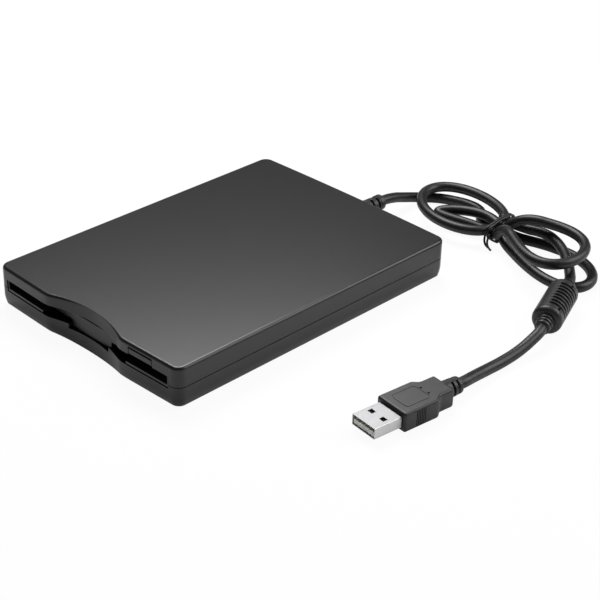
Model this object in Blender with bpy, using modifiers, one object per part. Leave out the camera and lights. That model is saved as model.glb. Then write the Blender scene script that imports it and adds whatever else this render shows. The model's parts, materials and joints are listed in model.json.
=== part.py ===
# External floppy disk drive with its cable, tied hank, ferrite and plug.
# Metres, +Z up. X runs across the drive, the slot faces -Y, and the drive stands on Z = 0.
import math

import bmesh
import bpy
from mathutils import Matrix, Vector

# Clearances that every fit shares
SEAT_GAP = 0.0003
PIN_FIT = 0.00015
OVERRUN = 0.0020

# Disk and the sheets that wrap it, from the middle outwards
DISK_WIDTH = 0.0900
DISK_SIDE_CLEARANCE = 0.0005
CARRIER_SHEET = 0.0006
RAIL_SHEET = 0.0005
CHASSIS_SHEET = 0.0008
SIDE_AIR = 0.0022
WALL = 0.0013

# The stack, from the table upwards
STANDOFF = 0.0005
FLOOR_THICKNESS = 0.0015
LOWER_SPACE = 0.0043
BAY_HEIGHT = 0.00445
SLIDER_SHEET = 0.0006
TOP_SHEET = 0.0006
TOP_AIR = 0.00085
CEILING_THICKNESS = 0.0013

# Case in plan and in section
FRONT_BOW = 0.0011
BACK_BOW = 0.0008
CORNER_RADIUS = 0.0040
TOP_FILLET = 0.0012
SCOOP_HALF_WIDTH = 0.0206
SCOOP_DEPTH_LOW = 0.0030
SCOOP_DEPTH_HIGH = 0.0055
FOOT_INSET = 0.0014
INNER_FOOT_INSET = 0.0007
TAPER_HEIGHT = 0.0040
PARTING_ABOVE_BAY = 0.00065
PARTING_GROOVE = 0.0003

# Slot, sill, dust door and eject button
SLOT_SIDE_MARGIN = 0.0010
SILL_ABOVE_BAY = 0.0006
SILL_THICKNESS = 0.00095
LIP_DROP = 0.0001
SILL_INNER_END = 0.0240
SILL_SETBACK = 0.0003
SILL_BAR_DEPTH = 0.0022
SILL_BAR_CLEARANCE = 0.0005
CHEEK_THICKNESS = 0.0012
CHEEK_REACH = 0.0010
SILL_LEG_WIDTH = 0.0030
DOOR_THICKNESS = 0.0008
DOOR_RECESS = 0.0034
DOOR_HINGE_RISE = 0.00055
DOOR_TOP_RISE = 0.0003
DOOR_RELIEF_DROP = 0.00085
DOOR_SKIN = 0.00045
DOOR_ROOM = 0.0025
TAB_HALF_WIDTH = 0.0112
TAB_DROP = 0.0018
HINGE_PIN_DIAMETER = 0.0007
DOOR_SPRING_SPACE = 0.0026
DOOR_SPRING_DROP = 0.0014
BUTTON_LEFT = 0.0259
BUTTON_WIDTH = 0.0121
BUTTON_RISE = 0.0004
BUTTON_HEIGHT = 0.0023
BUTTON_DEPTH = 0.0024
BUTTON_STEM_WIDTH = 0.0060
BUTTON_STEM_HEIGHT = 0.0008
BUTTON_STEM_RISE = 0.0003

# Feet and case screws
FOOT_DIAMETER = 0.0080
FOOT_RECESS = 0.0008
FOOT_SIDE_INSET = 0.0095
FOOT_END_INSET = 0.0145
SCREW_DIAMETER = 0.0020
SCREW_HEAD_DIAMETER = 0.0038
SCREW_HEAD_HEIGHT = 0.0008
SCREW_RECESS = 0.0009
SCREW_IN_BOSS = 0.0045
POST_DIAMETER = 0.0056
FRONT_SCREW_X = 0.0300
FRONT_SCREW_INSET = 0.0060
REAR_SCREW_X = 0.0430
REAR_SCREW_INSET = 0.0052

# Chassis, carrier and eject slider
CHASSIS_FRONT_GAP = 0.0089
CARRIER_FRONT_GAP = 0.0040
CARRIER_LENGTH = 0.0810
CARRIER_FLANGE = 0.0035
CARRIER_DROP = 0.0020
HEAD_OPENING_HALF = 0.0115
HEAD_OPENING_LENGTH = 0.0260
SLIDER_SETBACK = 0.0005
SLIDER_BAR = 0.0120
SLIDER_SIDE = 0.0160
RAIL_END_INSET = 0.0070
RAIL_LIFT = 0.0005
EJECT_TRAVEL = 0.0045
PIN_DIAMETER = 0.0016
PIN_INSET = 0.0220
PIN_BELOW_TOP = 0.0023
TOP_PLATE_INSET = 0.0040
TOP_OPENING_LENGTH = 0.0500
PLATE_SCREW_DIAMETER = 0.0016
PLATE_SCREW_HEAD = 0.0030
PLATE_SCREW_HEAD_HEIGHT = 0.0004
PLATE_SCREW_INSET = 0.0080
PLATE_BOSS_DIAMETER = 0.0034
SPRING_WIRE = 0.0003
SPRING_DIAMETER = 0.0014
SPRING_LENGTH = 0.0120
SPRING_TURNS = 7
HOOK_TAB = 0.0008
HOOK_HEIGHT = 0.0016
HOOK_WIDTH = 0.0024

# Spindle motor
SPINDLE_FROM_DOOR = 0.0465
BOARD_THICKNESS = 0.0008
MOTOR_BOARD_HALF_WIDTH = 0.0300
MOTOR_BOARD_FRONT = 0.0260
MOTOR_BOARD_BACK = 0.0225
BEARING_DIAMETER = 0.0080
BEARING_HEIGHT = 0.0020
SHAFT_DIAMETER = 0.0030
COIL_COUNT = 9
COIL_DIAMETER = 0.0068
COIL_THICKNESS = 0.0006
COIL_CIRCLE_RADIUS = 0.0145
ROTOR_AIR = 0.00145
ROTOR_THICKNESS = 0.0008
ROTOR_RIM = 0.0009
ROTOR_DIAMETER = 2 * (COIL_CIRCLE_RADIUS + COIL_DIAMETER / 2 + ROTOR_AIR + ROTOR_RIM)
HUB_DIAMETER = 0.0200
HUB_HEIGHT = 0.0005
HUB_NOSE_DIAMETER = 0.0040
HUB_NOSE_HEIGHT = 0.0006
DRIVE_PIN_DIAMETER = 0.0020
DRIVE_PIN_RADIUS = 0.0130
DRIVE_PIN_HEIGHT = 0.0010

# Heads, carriage and stepper
TRACK_ZERO_RADIUS = 0.0395
HEAD_TRAVEL = 0.0148
HEAD_LENGTH = 0.0050
HEAD_WIDTH = 0.0036
HEAD_THICKNESS = 0.0005
LOWER_ARM_LIFT = 0.0004
LOWER_ARM_HALF_WIDTH = 0.0040
LOWER_ARM_THICKNESS = 0.0007
LOWER_ARM_LENGTH = 0.0140
PEDESTAL_HEIGHT = 0.0016
CARRIAGE_LENGTH = 0.0160
CARRIAGE_LEFT = 0.0080
CARRIAGE_RIGHT = 0.0150
CARRIAGE_LIFT = 0.0006
CARRIAGE_HEIGHT = 0.0042
ARM_POST_LENGTH = 0.0040
ARM_POST_HEIGHT = 0.0011
ARM_HINGE_RISE = 0.0010
ARM_EAR_WIDTH = 0.0012
ARM_EAR_RISE = 0.0008
ARM_BARREL_DIAMETER = 0.0014
UPPER_ARM_THICKNESS = 0.0008
UPPER_ARM_HALF_WIDTH = 0.0045
UPPER_ARM_REST_DEGREES = 8.3
ARM_SPRING_SPACE = 0.0024
ROD_DIAMETER = 0.0022
ROD_X = 0.0115
ROD_RISE = 0.0029
CLIP_LENGTH = 0.0028
CLIP_WIDTH = 0.0040
CLIP_CAP = 0.0005
STEPPER_DIAMETER = 0.0080
STEPPER_LENGTH = 0.0080
STEPPER_BACK_GAP = 0.0014
LEAD_SCREW_DIAMETER = 0.0020
THREAD_DIAMETER = 0.0026
THREAD_PITCH = 0.0030
SCREW_FRONT_OVERRUN = 0.0010
SCREW_BACK_OVERRUN = 0.0035
BRACKET_SHEET = 0.0008
BRACKET_MARGIN = 0.0018
FLEX_HALF_WIDTH = 0.0030
FLEX_LENGTH = 0.0085
FLEX_THICKNESS = 0.0003
FLEX_RISE = 0.0020

# Shutter lever
LEVER_PIVOT_X = 0.0400
LEVER_PIVOT_BEHIND = 0.0080
LEVER_LENGTH = 0.0200
LEVER_WIDTH = 0.0040
LEVER_THICKNESS = 0.0010
LEVER_PIN_DIAMETER = 0.0030
LEVER_ABOVE_BAY = 0.0014
LEVER_REST_DEGREES = 225.0
LEVER_COLLAR = 0.0010

# Sensing switches
SWITCH_WIDTH = 0.0038
SWITCH_LENGTH = 0.0060
SWITCH_HEIGHT = 0.0026
SWITCH_X = 0.0392
SWITCH_INSET = 0.0080
SWITCH_SPACING = 0.0100
PLUNGER_DIAMETER = 0.0020
PLUNGER_PROUD = 0.0016
PLUNGER_SUNK = 0.0007

# Boards, chips and leads
CONTROL_LEFT = 0.0170
CONTROL_RIGHT_GAP = 0.0014
CONTROL_BACK_GAP = 0.0020
CONTROL_LENGTH = 0.0460
CHIP_HEIGHT = 0.0013
CHIP_LARGE = 0.0120
CHIP_SMALL = 0.0060
BRIDGE_LENGTH = 0.0570
BRIDGE_DEPTH = 0.0070
BRIDGE_CENTRE_X = 0.0055
BRIDGE_GAP = 0.0010
BRIDGE_BACK_GAP = 0.0018
BRIDGE_POST_HEIGHT = 0.0024
BRIDGE_POST_DIAMETER = 0.0030
BRIDGE_POST_INSET = 0.0040
FLAT_CABLE_WIDTH = 0.0130
FLAT_CABLE_THICKNESS = 0.0003
FLAT_CABLE_RISE = 0.0016
HEADER_WIDTH = 0.0084
HEADER_DEPTH = 0.0022
HEADER_HEIGHT = 0.0020

# Strain relief
BOOT_AXIS_HEIGHT = 0.0080
BOOT_NECK_DIAMETER = 0.0056
BOOT_FLANGE_DIAMETER = 0.0082
BOOT_FLANGE_THICKNESS = 0.0010
BOOT_ROOT_DIAMETER = 0.0078
BOOT_TIP_DIAMETER = 0.0062
BOOT_LENGTH = 0.0162
BOOT_GROOVE_WIDTH = 0.0009
BOOT_GROOVE_DEPTH = 0.0010
BOOT_GROOVE_SHARES = (0.42, 0.64)

# Cable routes, hand chosen, in world metres
CABLE_DIAMETER = 0.0044
POINT_SPACING = 0.0095
# The first two and the last two points of a route are its straight ends
LEAD_POINTS = (
    (0.0000, 0.0887, 0.0080),
    (0.0000, 0.0915, 0.0080),
    (0.0000, 0.0985, 0.0063),
    (0.0000, 0.1040, 0.0042),
    (0.0008, 0.1100, 0.0026),
    (0.0036, 0.1157, 0.0023),
    (0.0085, 0.1196, 0.0023),
    (0.0145, 0.1223, 0.0023),
    (0.0210, 0.1240, 0.0023),
    (0.0268, 0.1234, 0.0023),
    (0.0306, 0.1205, 0.0023),
    (0.0334, 0.1165, 0.0027),
    (0.0364, 0.1142, 0.0033),
    (0.0385, 0.1140, 0.00345),
    (0.0404, 0.1140, 0.00345),
)
LINK_POINTS = (
    (0.0558, 0.1167, 0.00755),
    (0.0583, 0.1167, 0.00755),
    (0.0622, 0.1175, 0.0078),
    (0.0670, 0.1179, 0.0078),
    (0.0716, 0.1168, 0.0076),
    (0.0792, 0.1124, 0.0074),
    (0.0849, 0.1074, 0.0073),
    (0.0906, 0.1015, 0.0071),
    (0.0959, 0.0945, 0.00664),
    (0.09669, 0.09248, 0.0066),
)
TAIL_POINTS = (
    (0.10951, 0.05902, 0.0060),
    (0.11030, 0.05697, 0.0059),
    (0.1108, 0.0515, 0.0047),
    (0.1109, 0.0440, 0.0032),
    (0.1107, 0.0350, 0.0025),
    (0.1104, 0.0260, 0.0026),
    (0.1107, 0.0175, 0.0034),
    (0.11108, 0.01157, 0.0040),
    (0.11082, 0.00939, 0.0040),
)

# Hank: five passes through the waist, stacked in two layers, and four loops between them
WAIST_X = 0.0481
WAIST_Y = 0.1115
WAIST_HALF_LENGTH = 0.0030
LOW_PASS_HEIGHT = 0.00345
PASSES = {
    "low_far": (0.0025, LOW_PASS_HEIGHT),
    "low_near": (-0.0025, LOW_PASS_HEIGHT),
    "high_middle": (0.0000, 0.00765),
    "high_near": (-0.0065, 0.00650),
    "high_far": (0.0052, 0.00755),
}
# Each loop: passes joined, side (+1 is +X), turn, reach, width, roundness, lean, skew, rise, climb
HANK_LOOPS = (
    ("low_far", "low_near", 1, 1, 0.0465, 0.0195, 1.07, -0.0087, 0.0018, -0.0012, 0.12),
    ("low_near", "high_middle", -1, -1, 0.0240, 0.0054, 1.17, -0.0064, 0.0016, 0.0009, 0.25),
    ("high_middle", "high_near", 1, 1, 0.0420, 0.0239, 1.60, -0.0097, 0.0020, 0.0062, 0.17),
    ("high_near", "high_far", -1, -1, 0.0395, 0.0218, 0.30, 0.0021, -0.0019, 0.00015, 0.25),
)
LOOP_POINTS = 24
LEAST_HANK_GAP = 0.0004

# Wire tie round the waist
TIE_DIAMETER = 0.0009
TIE_TURNS = 2
TIE_TURN_POINTS = 18
TIE_TAIL_LENGTH = 0.0095

# Ferrite on the cable
FERRITE_FAR_END = (0.0968, 0.0922, 0.0066)
FERRITE_NEAR_END = (0.1094, 0.0593, 0.0060)
FERRITE_DIAMETER = 0.0120
FERRITE_COLLAR_DIAMETER = 0.0070
FERRITE_COLLAR_TIP_DIAMETER = 0.0060
FERRITE_COLLAR_LENGTH = 0.0050
FERRITE_ROUNDING = 0.0020
FERRITE_GROOVE_WIDTH = 0.0007
FERRITE_GROOVE_DEPTH = 0.0007
FERRITE_GROOVE_SHARES = (0.30, 0.65)
CORE_DIAMETER = 0.0092
CORE_LENGTH = 0.0190
CORE_BORE = 0.0030

# Plug, in its own frame: +Y runs from the shell's root back along the plug
PLUG_ROOT = (0.10702, -0.02254, 0.0)
PLUG_TURN_DEGREES = -6.78
PLUG_AXIS_HEIGHT = 0.0040
SHELL_WIDTH = 0.0120
SHELL_HEIGHT = 0.0045
SHELL_LENGTH = 0.0120
SHELL_SHEET = 0.0003
SHELL_WINDOW_WIDTH = 0.0024
SHELL_WINDOW_LENGTH = 0.0020
SHELL_WINDOW_SPACING = 0.0061
SHELL_WINDOW_FROM_ROOT = 0.0048
TONGUE_THICKNESS = 0.0019
TONGUE_SETBACK = 0.0004
CONTACT_COUNT = 4
CONTACT_WIDTH = 0.0010
CONTACT_PITCH = 0.0022
CONTACT_THICKNESS = 0.0002
CONTACT_LENGTH = 0.0080
GRIP_WIDTH = 0.0150
GRIP_HEIGHT = 0.0078
GRIP_LENGTH = 0.0183
GRIP_ROUNDING = 0.0011
NECK_WIDTH = 0.0110
NECK_HEIGHT = 0.0077
NECK_LENGTH = 0.00655
NECK_ROUNDING = 0.0012
PLUG_BOOT_LENGTH = 0.0070
PLUG_BOOT_ROOT_DIAMETER = 0.0072
PLUG_BOOT_TIP_DIAMETER = 0.0065
PLUG_BOOT_GROOVE_SHARES = (0.32, 0.64)

# Facets
ROUND_SIDES = 20
SMALL_SIDES = 12
CORNER_STEPS = 4
FILLET_STEPS = 3
BOW_STEPS = 3
# Heights and insets of the lower case's outer wall, of the taper's height and the foot's inset
TAPER_SHARES = ((0.0, 1.0), (0.06, 0.62), (0.25, 0.40), (1.0, 0.0))
# Places across the scoop, of its half width
SCOOP_SHARES = (-1.0, -0.8, -0.55, -0.28, 0.0, 0.28, 0.55, 0.8, 1.0)
DOOR_RELIEF_SHARE = 0.77

# Half widths, from the middle outwards
BAY_HALF = DISK_WIDTH / 2 + DISK_SIDE_CLEARANCE
CARRIER_HALF = BAY_HALF + CARRIER_SHEET
RAIL_INNER = CARRIER_HALF + SEAT_GAP
RAIL_OUTER = RAIL_INNER + RAIL_SHEET
CHASSIS_INNER = RAIL_OUTER + SEAT_GAP
CHASSIS_HALF = CHASSIS_INNER + CHASSIS_SHEET
CASE_HALF = CHASSIS_HALF + SIDE_AIR + WALL
SLOT_HALF_WIDTH = BAY_HALF + SLOT_SIDE_MARGIN

# Heights, from the table upwards
Z_FLOOR = STANDOFF + FLOOR_THICKNESS
Z_CHASSIS = Z_FLOOR + SEAT_GAP
Z_DECK = Z_CHASSIS + CHASSIS_SHEET
Z_BOARD = Z_DECK + SEAT_GAP
Z_BOARD_TOP = Z_BOARD + BOARD_THICKNESS
Z_FLANGE = Z_DECK + LOWER_SPACE
Z_BAY = Z_FLANGE + CARRIER_SHEET
Z_CARRIER_TOP = Z_BAY + BAY_HEIGHT
Z_SLIDER = Z_CARRIER_TOP + CARRIER_SHEET + SEAT_GAP
Z_TOP_PLATE = Z_SLIDER + SLIDER_SHEET + SEAT_GAP
Z_CEILING = Z_TOP_PLATE + TOP_SHEET + TOP_AIR
Z_TOP = Z_CEILING + CEILING_THICKNESS
Z_PARTING = Z_BAY + PARTING_ABOVE_BAY
Z_COVER_RIM = Z_PARTING + PARTING_GROOVE
Z_SILL_TOP = Z_BAY + SILL_ABOVE_BAY
Z_SILL = Z_SILL_TOP - SILL_THICKNESS
Z_FRONT_WALL = Z_SILL - SEAT_GAP
Z_LIP = Z_CARRIER_TOP - LIP_DROP
Z_HINGE = Z_LIP + DOOR_HINGE_RISE
Z_DOOR_BOTTOM = Z_SILL_TOP + SEAT_GAP
Z_TAB = Z_FRONT_WALL - TAB_DROP + SEAT_GAP

# Places along Y, from the front backwards
BOW_AT_SCOOP = FRONT_BOW * (1 - (SCOOP_HALF_WIDTH / CASE_HALF) ** 2)
MOTOR_REACH = LOWER_ARM_LENGTH + CARRIAGE_LENGTH + SCREW_BACK_OVERRUN + BRACKET_SHEET + SEAT_GAP
MECHANISM_DEPTH = (
    DOOR_RECESS + SPINDLE_FROM_DOOR + TRACK_ZERO_RADIUS - HEAD_LENGTH / 2 + MOTOR_REACH + STEPPER_LENGTH
    + STEPPER_BACK_GAP
)
CASE_DEPTH = MECHANISM_DEPTH + BRIDGE_GAP + BRIDGE_DEPTH + BRIDGE_BACK_GAP + WALL
Y_FRONT = (BOW_AT_SCOOP - BACK_BOW - CASE_DEPTH) / 2
Y_BACK = Y_FRONT + CASE_DEPTH
Y_DOOR = Y_FRONT + DOOR_RECESS
Y_HINGE = Y_DOOR + DOOR_THICKNESS / 2
DOOR_REACH = math.hypot(Z_HINGE - Z_TAB, DOOR_THICKNESS / 2)
Y_SILL_BAR = Y_HINGE + math.sqrt(DOOR_REACH**2 - (Z_HINGE - Z_SILL_TOP) ** 2) + SILL_BAR_CLEARANCE
Y_SILL_BACK = Y_SILL_BAR + SILL_BAR_DEPTH
Y_CHASSIS = Y_FRONT + CHASSIS_FRONT_GAP
Y_CHASSIS_BACK = Y_FRONT + MECHANISM_DEPTH
Y_CARRIER = Y_CHASSIS + CARRIER_FRONT_GAP
Y_CARRIER_BACK = Y_CARRIER + CARRIER_LENGTH
Y_SPINDLE = Y_DOOR + SPINDLE_FROM_DOOR
Y_HEAD = Y_SPINDLE + TRACK_ZERO_RADIUS
Y_ARM_FRONT = Y_HEAD - HEAD_LENGTH / 2
Y_CARRIAGE = Y_ARM_FRONT + LOWER_ARM_LENGTH
Y_CARRIAGE_BACK = Y_CARRIAGE + CARRIAGE_LENGTH
Y_LEVER = Y_CARRIER_BACK + LEVER_PIVOT_BEHIND
Z_LEVER = Z_BAY + LEVER_ABOVE_BAY
Y_BRIDGE = Y_CHASSIS_BACK + BRIDGE_GAP
Y_BRIDGE_BACK = Y_BRIDGE + BRIDGE_DEPTH
Y_BACK_WALL = Y_BACK + BACK_BOW


for old in list(bpy.data.objects):
    bpy.data.objects.remove(old, do_unlink=True)
PARTS = bpy.data.collections.new("external_floppy_disk_drive")
CUTTERS = bpy.data.collections.new("cutters")
for collection in (PARTS, CUTTERS):
    bpy.context.scene.collection.children.link(collection)

# Directions that a flat outline or a turned piece can face: local axes as columns
FACING = {
    "Z": Matrix.Identity(4),
    "X": Matrix(((0, 0, 1, 0), (1, 0, 0, 0), (0, 1, 0, 0), (0, 0, 0, 1))),
    "Y": Matrix(((1, 0, 0, 0), (0, 0, -1, 0), (0, 1, 0, 0), (0, 0, 0, 1))),
}


# Materials
def material(name, colour, roughness, metallic=0.0):
    made = bpy.data.materials.new(name)
    made.use_nodes = True
    shader = made.node_tree.nodes["Principled BSDF"]
    shader.inputs["Base Color"].default_value = (*colour, 1.0)
    shader.inputs["Roughness"].default_value = roughness
    shader.inputs["Metallic"].default_value = metallic
    made.diffuse_color = (*colour, 1.0)
    return made


CASE_BLACK = material("case_black", (0.035, 0.035, 0.037), 0.42)
DOOR_BLACK = material("door_black", (0.018, 0.018, 0.019), 0.50)
RUBBER = material("cable_rubber", (0.012, 0.012, 0.013), 0.45)
SOFT_BLACK = material("moulded_black", (0.055, 0.056, 0.058), 0.50)
STEEL = material("sheet_steel", (0.62, 0.62, 0.60), 0.35, 1.0)
BRIGHT = material("bright_steel", (0.75, 0.75, 0.76), 0.22, 1.0)
BRASS = material("contact_brass", (0.80, 0.62, 0.28), 0.28, 1.0)
COPPER = material("coil_copper", (0.72, 0.34, 0.16), 0.35, 1.0)
BOARD = material("board_green", (0.03, 0.16, 0.07), 0.45)
CHIP = material("chip_black", (0.02, 0.02, 0.02), 0.40)
PALE = material("pale_plastic", (0.72, 0.72, 0.68), 0.45)
AMBER = material("flexible_amber", (0.50, 0.22, 0.05), 0.35)
FERRITE = material("ferrite_grey", (0.10, 0.10, 0.10), 0.60)


# Modelling helpers
def keep(name, mesh, finish, place=None):
    """An object for a mesh: a part when it has a finish, otherwise a cutter."""
    obj = bpy.data.objects.new(name, mesh)
    if place is not None:
        obj.matrix_world = place
    if finish is None:
        CUTTERS.objects.link(obj)
        obj.hide_render = True
        obj.display_type = "WIRE"
    else:
        PARTS.objects.link(obj)
        obj.data.materials.append(finish)
    return obj


def finish_mesh(name, shape):
    mesh = bpy.data.meshes.new(name)
    shape.to_mesh(mesh)
    shape.free()
    return mesh


def smooth(obj, degrees=35.0):
    obj.data.shade_smooth()
    obj.data.set_sharp_from_angle(angle=math.radians(degrees))
    return obj


def block(name, low, high, finish=None):
    """A box between two corners, with its origin at its middle."""
    low, high = Vector(low), Vector(high)
    shape = bmesh.new()
    bmesh.ops.create_cube(shape, size=1.0)
    bmesh.ops.scale(shape, vec=high - low, verts=shape.verts)
    return keep(name, finish_mesh(name, shape), finish, Matrix.Translation((low + high) / 2))


def bevel(obj, width, segments=1, only_along=None):
    """Rounds the edges of a box, or only those that run along one axis."""
    shape = bmesh.new()
    shape.from_mesh(obj.data)
    edges = list(shape.edges)
    if only_along is not None:
        axis = "XYZ".index(only_along)
        spans = [(e, (e.verts[0].co - e.verts[1].co).normalized()) for e in edges]
        edges = [e for e, span in spans if abs(span[axis]) > 0.9]
    bmesh.ops.bevel(shape, geom=edges, offset=width, segments=segments, affect="EDGES", profile=0.5)
    shape.to_mesh(obj.data)
    shape.free()
    return obj


def rod(name, base, length, diameter, axis="Z", finish=None, sides=ROUND_SIDES, tip=None):
    """A cylinder or a cone that starts at its base point and runs along an axis."""
    shape = bmesh.new()
    top = diameter if tip is None else tip
    bmesh.ops.create_cone(
        shape, cap_ends=True, segments=sides, radius1=diameter / 2, radius2=top / 2, depth=length
    )
    bmesh.ops.translate(shape, vec=(0, 0, length / 2), verts=shape.verts)
    facing = FACING[axis]
    if axis == "Y":
        facing = Matrix(((1, 0, 0, 0), (0, 0, 1, 0), (0, -1, 0, 0), (0, 0, 0, 1)))
    obj = keep(name, finish_mesh(name, shape), finish, Matrix.Translation(base) @ facing)
    return smooth(obj)


def turned(name, profile, place, finish=None, steps=ROUND_SIDES, ring=False):
    """A profile of (radius, height) pairs, top to bottom, turned about the local Z axis."""
    shape = bmesh.new()
    corners = [shape.verts.new((radius, 0, height)) for radius, height in profile]
    for first, second in zip(corners, corners[1:] + corners[:1] if ring else corners[1:]):
        shape.edges.new((first, second))
    obj = keep(name, finish_mesh(name, shape), finish, place)
    screw = obj.modifiers.new("turn", "SCREW")
    screw.axis = "Z"
    screw.steps = steps
    screw.render_steps = steps
    screw.use_merge_vertices = True
    screw.merge_threshold = SEAT_GAP / ROUND_SIDES
    screw.use_smooth_shade = False
    return obj


def flat(name, outlines, low, high, finish=None, axis="Z"):
    """Flat outlines, the first the rim and the others its holes, between two levels of an axis."""
    curve = bpy.data.curves.new(name, "CURVE")
    curve.dimensions = "2D"
    curve.fill_mode = "BOTH"
    curve.extrude = abs(high - low) / 2
    for outline in outlines:
        spline = curve.splines.new("POLY")
        spline.points.add(len(outline) - 1)
        for point, (across, along) in zip(spline.points, outline):
            point.co = (across, along, 0, 1)
        spline.use_cyclic_u = True
    guide = bpy.data.objects.new(name, curve)
    PARTS.objects.link(guide)
    bpy.context.view_layer.update()
    graph = bpy.context.evaluated_depsgraph_get()
    mesh = bpy.data.meshes.new_from_object(guide.evaluated_get(graph))
    bpy.data.objects.remove(guide, do_unlink=True)
    bpy.data.curves.remove(curve)
    shape = bmesh.new()
    shape.from_mesh(mesh)
    bmesh.ops.remove_doubles(shape, verts=shape.verts, dist=SEAT_GAP / ROUND_SIDES)
    bmesh.ops.recalc_face_normals(shape, faces=shape.faces)
    bmesh.ops.dissolve_limit(
        shape, angle_limit=math.radians(1.0), verts=shape.verts, edges=shape.edges, delimit={"NORMAL"}
    )
    shape.to_mesh(mesh)
    shape.free()
    middle = {"X": ((low + high) / 2, 0, 0), "Y": (0, (low + high) / 2, 0), "Z": (0, 0, (low + high) / 2)}
    mesh.name = name
    mesh.materials.clear()
    return keep(name, mesh, finish, Matrix.Translation(middle[axis]) @ FACING[axis])


def loft(name, rings, finish):
    """A closed body from rings of alike counts, capped at both ends."""
    shape = bmesh.new()
    rows = [[shape.verts.new(point) for point in ring] for ring in rings]
    for lower, upper in zip(rows, rows[1:]):
        for index in range(len(lower)):
            following = (index + 1) % len(lower)
            shape.faces.new((lower[index], lower[following], upper[following], upper[index]))
    shape.faces.new(list(reversed(rows[0])))
    shape.faces.new(rows[-1])
    bmesh.ops.recalc_face_normals(shape, faces=shape.faces)
    return smooth(keep(name, finish_mesh(name, shape), finish))


def tube(name, points, diameter, finish, resolution=2):
    """A round tube through its points, as one unbroken spline."""
    curve = bpy.data.curves.new(name, "CURVE")
    curve.dimensions = "3D"
    curve.bevel_depth = diameter / 2
    curve.bevel_resolution = resolution
    curve.use_fill_caps = True
    runs = points if isinstance(points[0][0], (tuple, list, Vector)) else [points]
    for run in runs:
        spline = curve.splines.new("POLY")
        spline.points.add(len(run) - 1)
        for point, place in zip(spline.points, run):
            point.co = (*place, 1)
    obj = bpy.data.objects.new(name, curve)
    PARTS.objects.link(obj)
    curve.materials.append(finish)
    return obj


def boolean(obj, others, operation):
    if not obj.modifiers:
        obj.modifiers.new("facets", "TRIANGULATE")
    for other in others:
        step = obj.modifiers.new(other.name, "BOOLEAN")
        step.operation = operation
        step.object = other
    return obj


def cut(obj, *others):
    return boolean(obj, others, "DIFFERENCE")


def join(obj, *others):
    return boolean(obj, others, "UNION")


def carrier(name, place, turn=None):
    """An empty on a joint's axis, which the pieces of a moving body hang from."""
    empty = bpy.data.objects.new(name, None)
    PARTS.objects.link(empty)
    empty.location = place
    if turn is not None:
        empty.rotation_euler = turn
    bpy.context.view_layer.update()
    return empty


def hang(empty, *pieces):
    """Parents pieces that are already in their place."""
    for piece in pieces:
        piece.parent = empty
        piece.matrix_parent_inverse = empty.matrix_world.inverted()


def arc(centre, radius, start, end, steps):
    """Points of an arc, in degrees."""
    turns = [math.radians(start + (end - start) * step / steps) for step in range(steps + 1)]
    return [(centre[0] + radius * math.cos(a), centre[1] + radius * math.sin(a)) for a in turns]


def rectangle(left, front, right, back):
    return [(left, front), (right, front), (right, back), (left, back)]


def circle(centre, diameter, sides=SMALL_SIDES):
    return arc(centre, diameter / 2, 0.0, 360.0, sides)[:-1]


# Case shells
def front_line(x):
    return Y_FRONT - FRONT_BOW * (1 - (x / CASE_HALF) ** 2)


def back_line(x):
    return Y_BACK + BACK_BOW * (1 - (x / CASE_HALF) ** 2)


def scoop_depth(z):
    rise = (z - STANDOFF) / (Z_TOP - STANDOFF)
    return SCOOP_DEPTH_LOW + (SCOOP_DEPTH_HIGH - SCOOP_DEPTH_LOW) * rise


def case_ring(z, inset, scoop):
    """The case's outline at a height, drawn in by an inset, with the scoop in its front."""
    radius = CORNER_RADIUS - inset
    side = CASE_HALF - CORNER_RADIUS
    front_middle = front_line(side) + CORNER_RADIUS
    back_middle = back_line(side) - CORNER_RADIUS
    ring = arc((-side, front_middle), radius, 180.0, 270.0, CORNER_STEPS)
    for share in SCOOP_SHARES:
        x = share * SCOOP_HALF_WIDTH
        ring.append((x, front_line(x) + inset + scoop * (1 - share**2)))
    ring += arc((side, front_middle), radius, 270.0, 360.0, CORNER_STEPS)
    ring += arc((side, back_middle), radius, 0.0, 90.0, CORNER_STEPS)
    for step in range(1, 2 * BOW_STEPS):
        x = side * (1 - step / BOW_STEPS)
        ring.append((x, back_line(x) - inset))
    ring += arc((-side, back_middle), radius, 90.0, 180.0, CORNER_STEPS)
    return [(x, y, z) for x, y in ring]


def outer_ring(z, inset):
    return case_ring(z, inset, scoop_depth(z) - inset)


def inner_ring(z, extra=0.0):
    return case_ring(z, WALL + extra, scoop_depth(z))


def case_posts(x_side):
    """Where a rear case screw stands."""
    return (x_side * REAR_SCREW_X, Y_BACK - WALL - REAR_SCREW_INSET)


def foot_places():
    x = CASE_HALF - FOOT_SIDE_INSET
    return [(side * x, y) for side in (-1, 1) for y in (Y_FRONT + FOOT_END_INSET, Y_BACK - FOOT_END_INSET)]


def front_screw_places():
    return [(side * FRONT_SCREW_X, Y_CHASSIS + FRONT_SCREW_INSET) for side in (-1, 1)]


def bridge_post_places():
    half = BRIDGE_LENGTH / 2 - BRIDGE_POST_INSET
    y = (Y_BRIDGE + Y_BRIDGE_BACK) / 2
    return [(BRIDGE_CENTRE_X + side * half, y) for side in (-1, 1)]


def boot_hole():
    base = (0, Y_BACK - WALL - OVERRUN, BOOT_AXIS_HEIGHT)
    length = BACK_BOW + WALL + 2 * OVERRUN
    return rod("boot_hole", base, length, BOOT_NECK_DIAMETER + 2 * SEAT_GAP, "Y")


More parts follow.
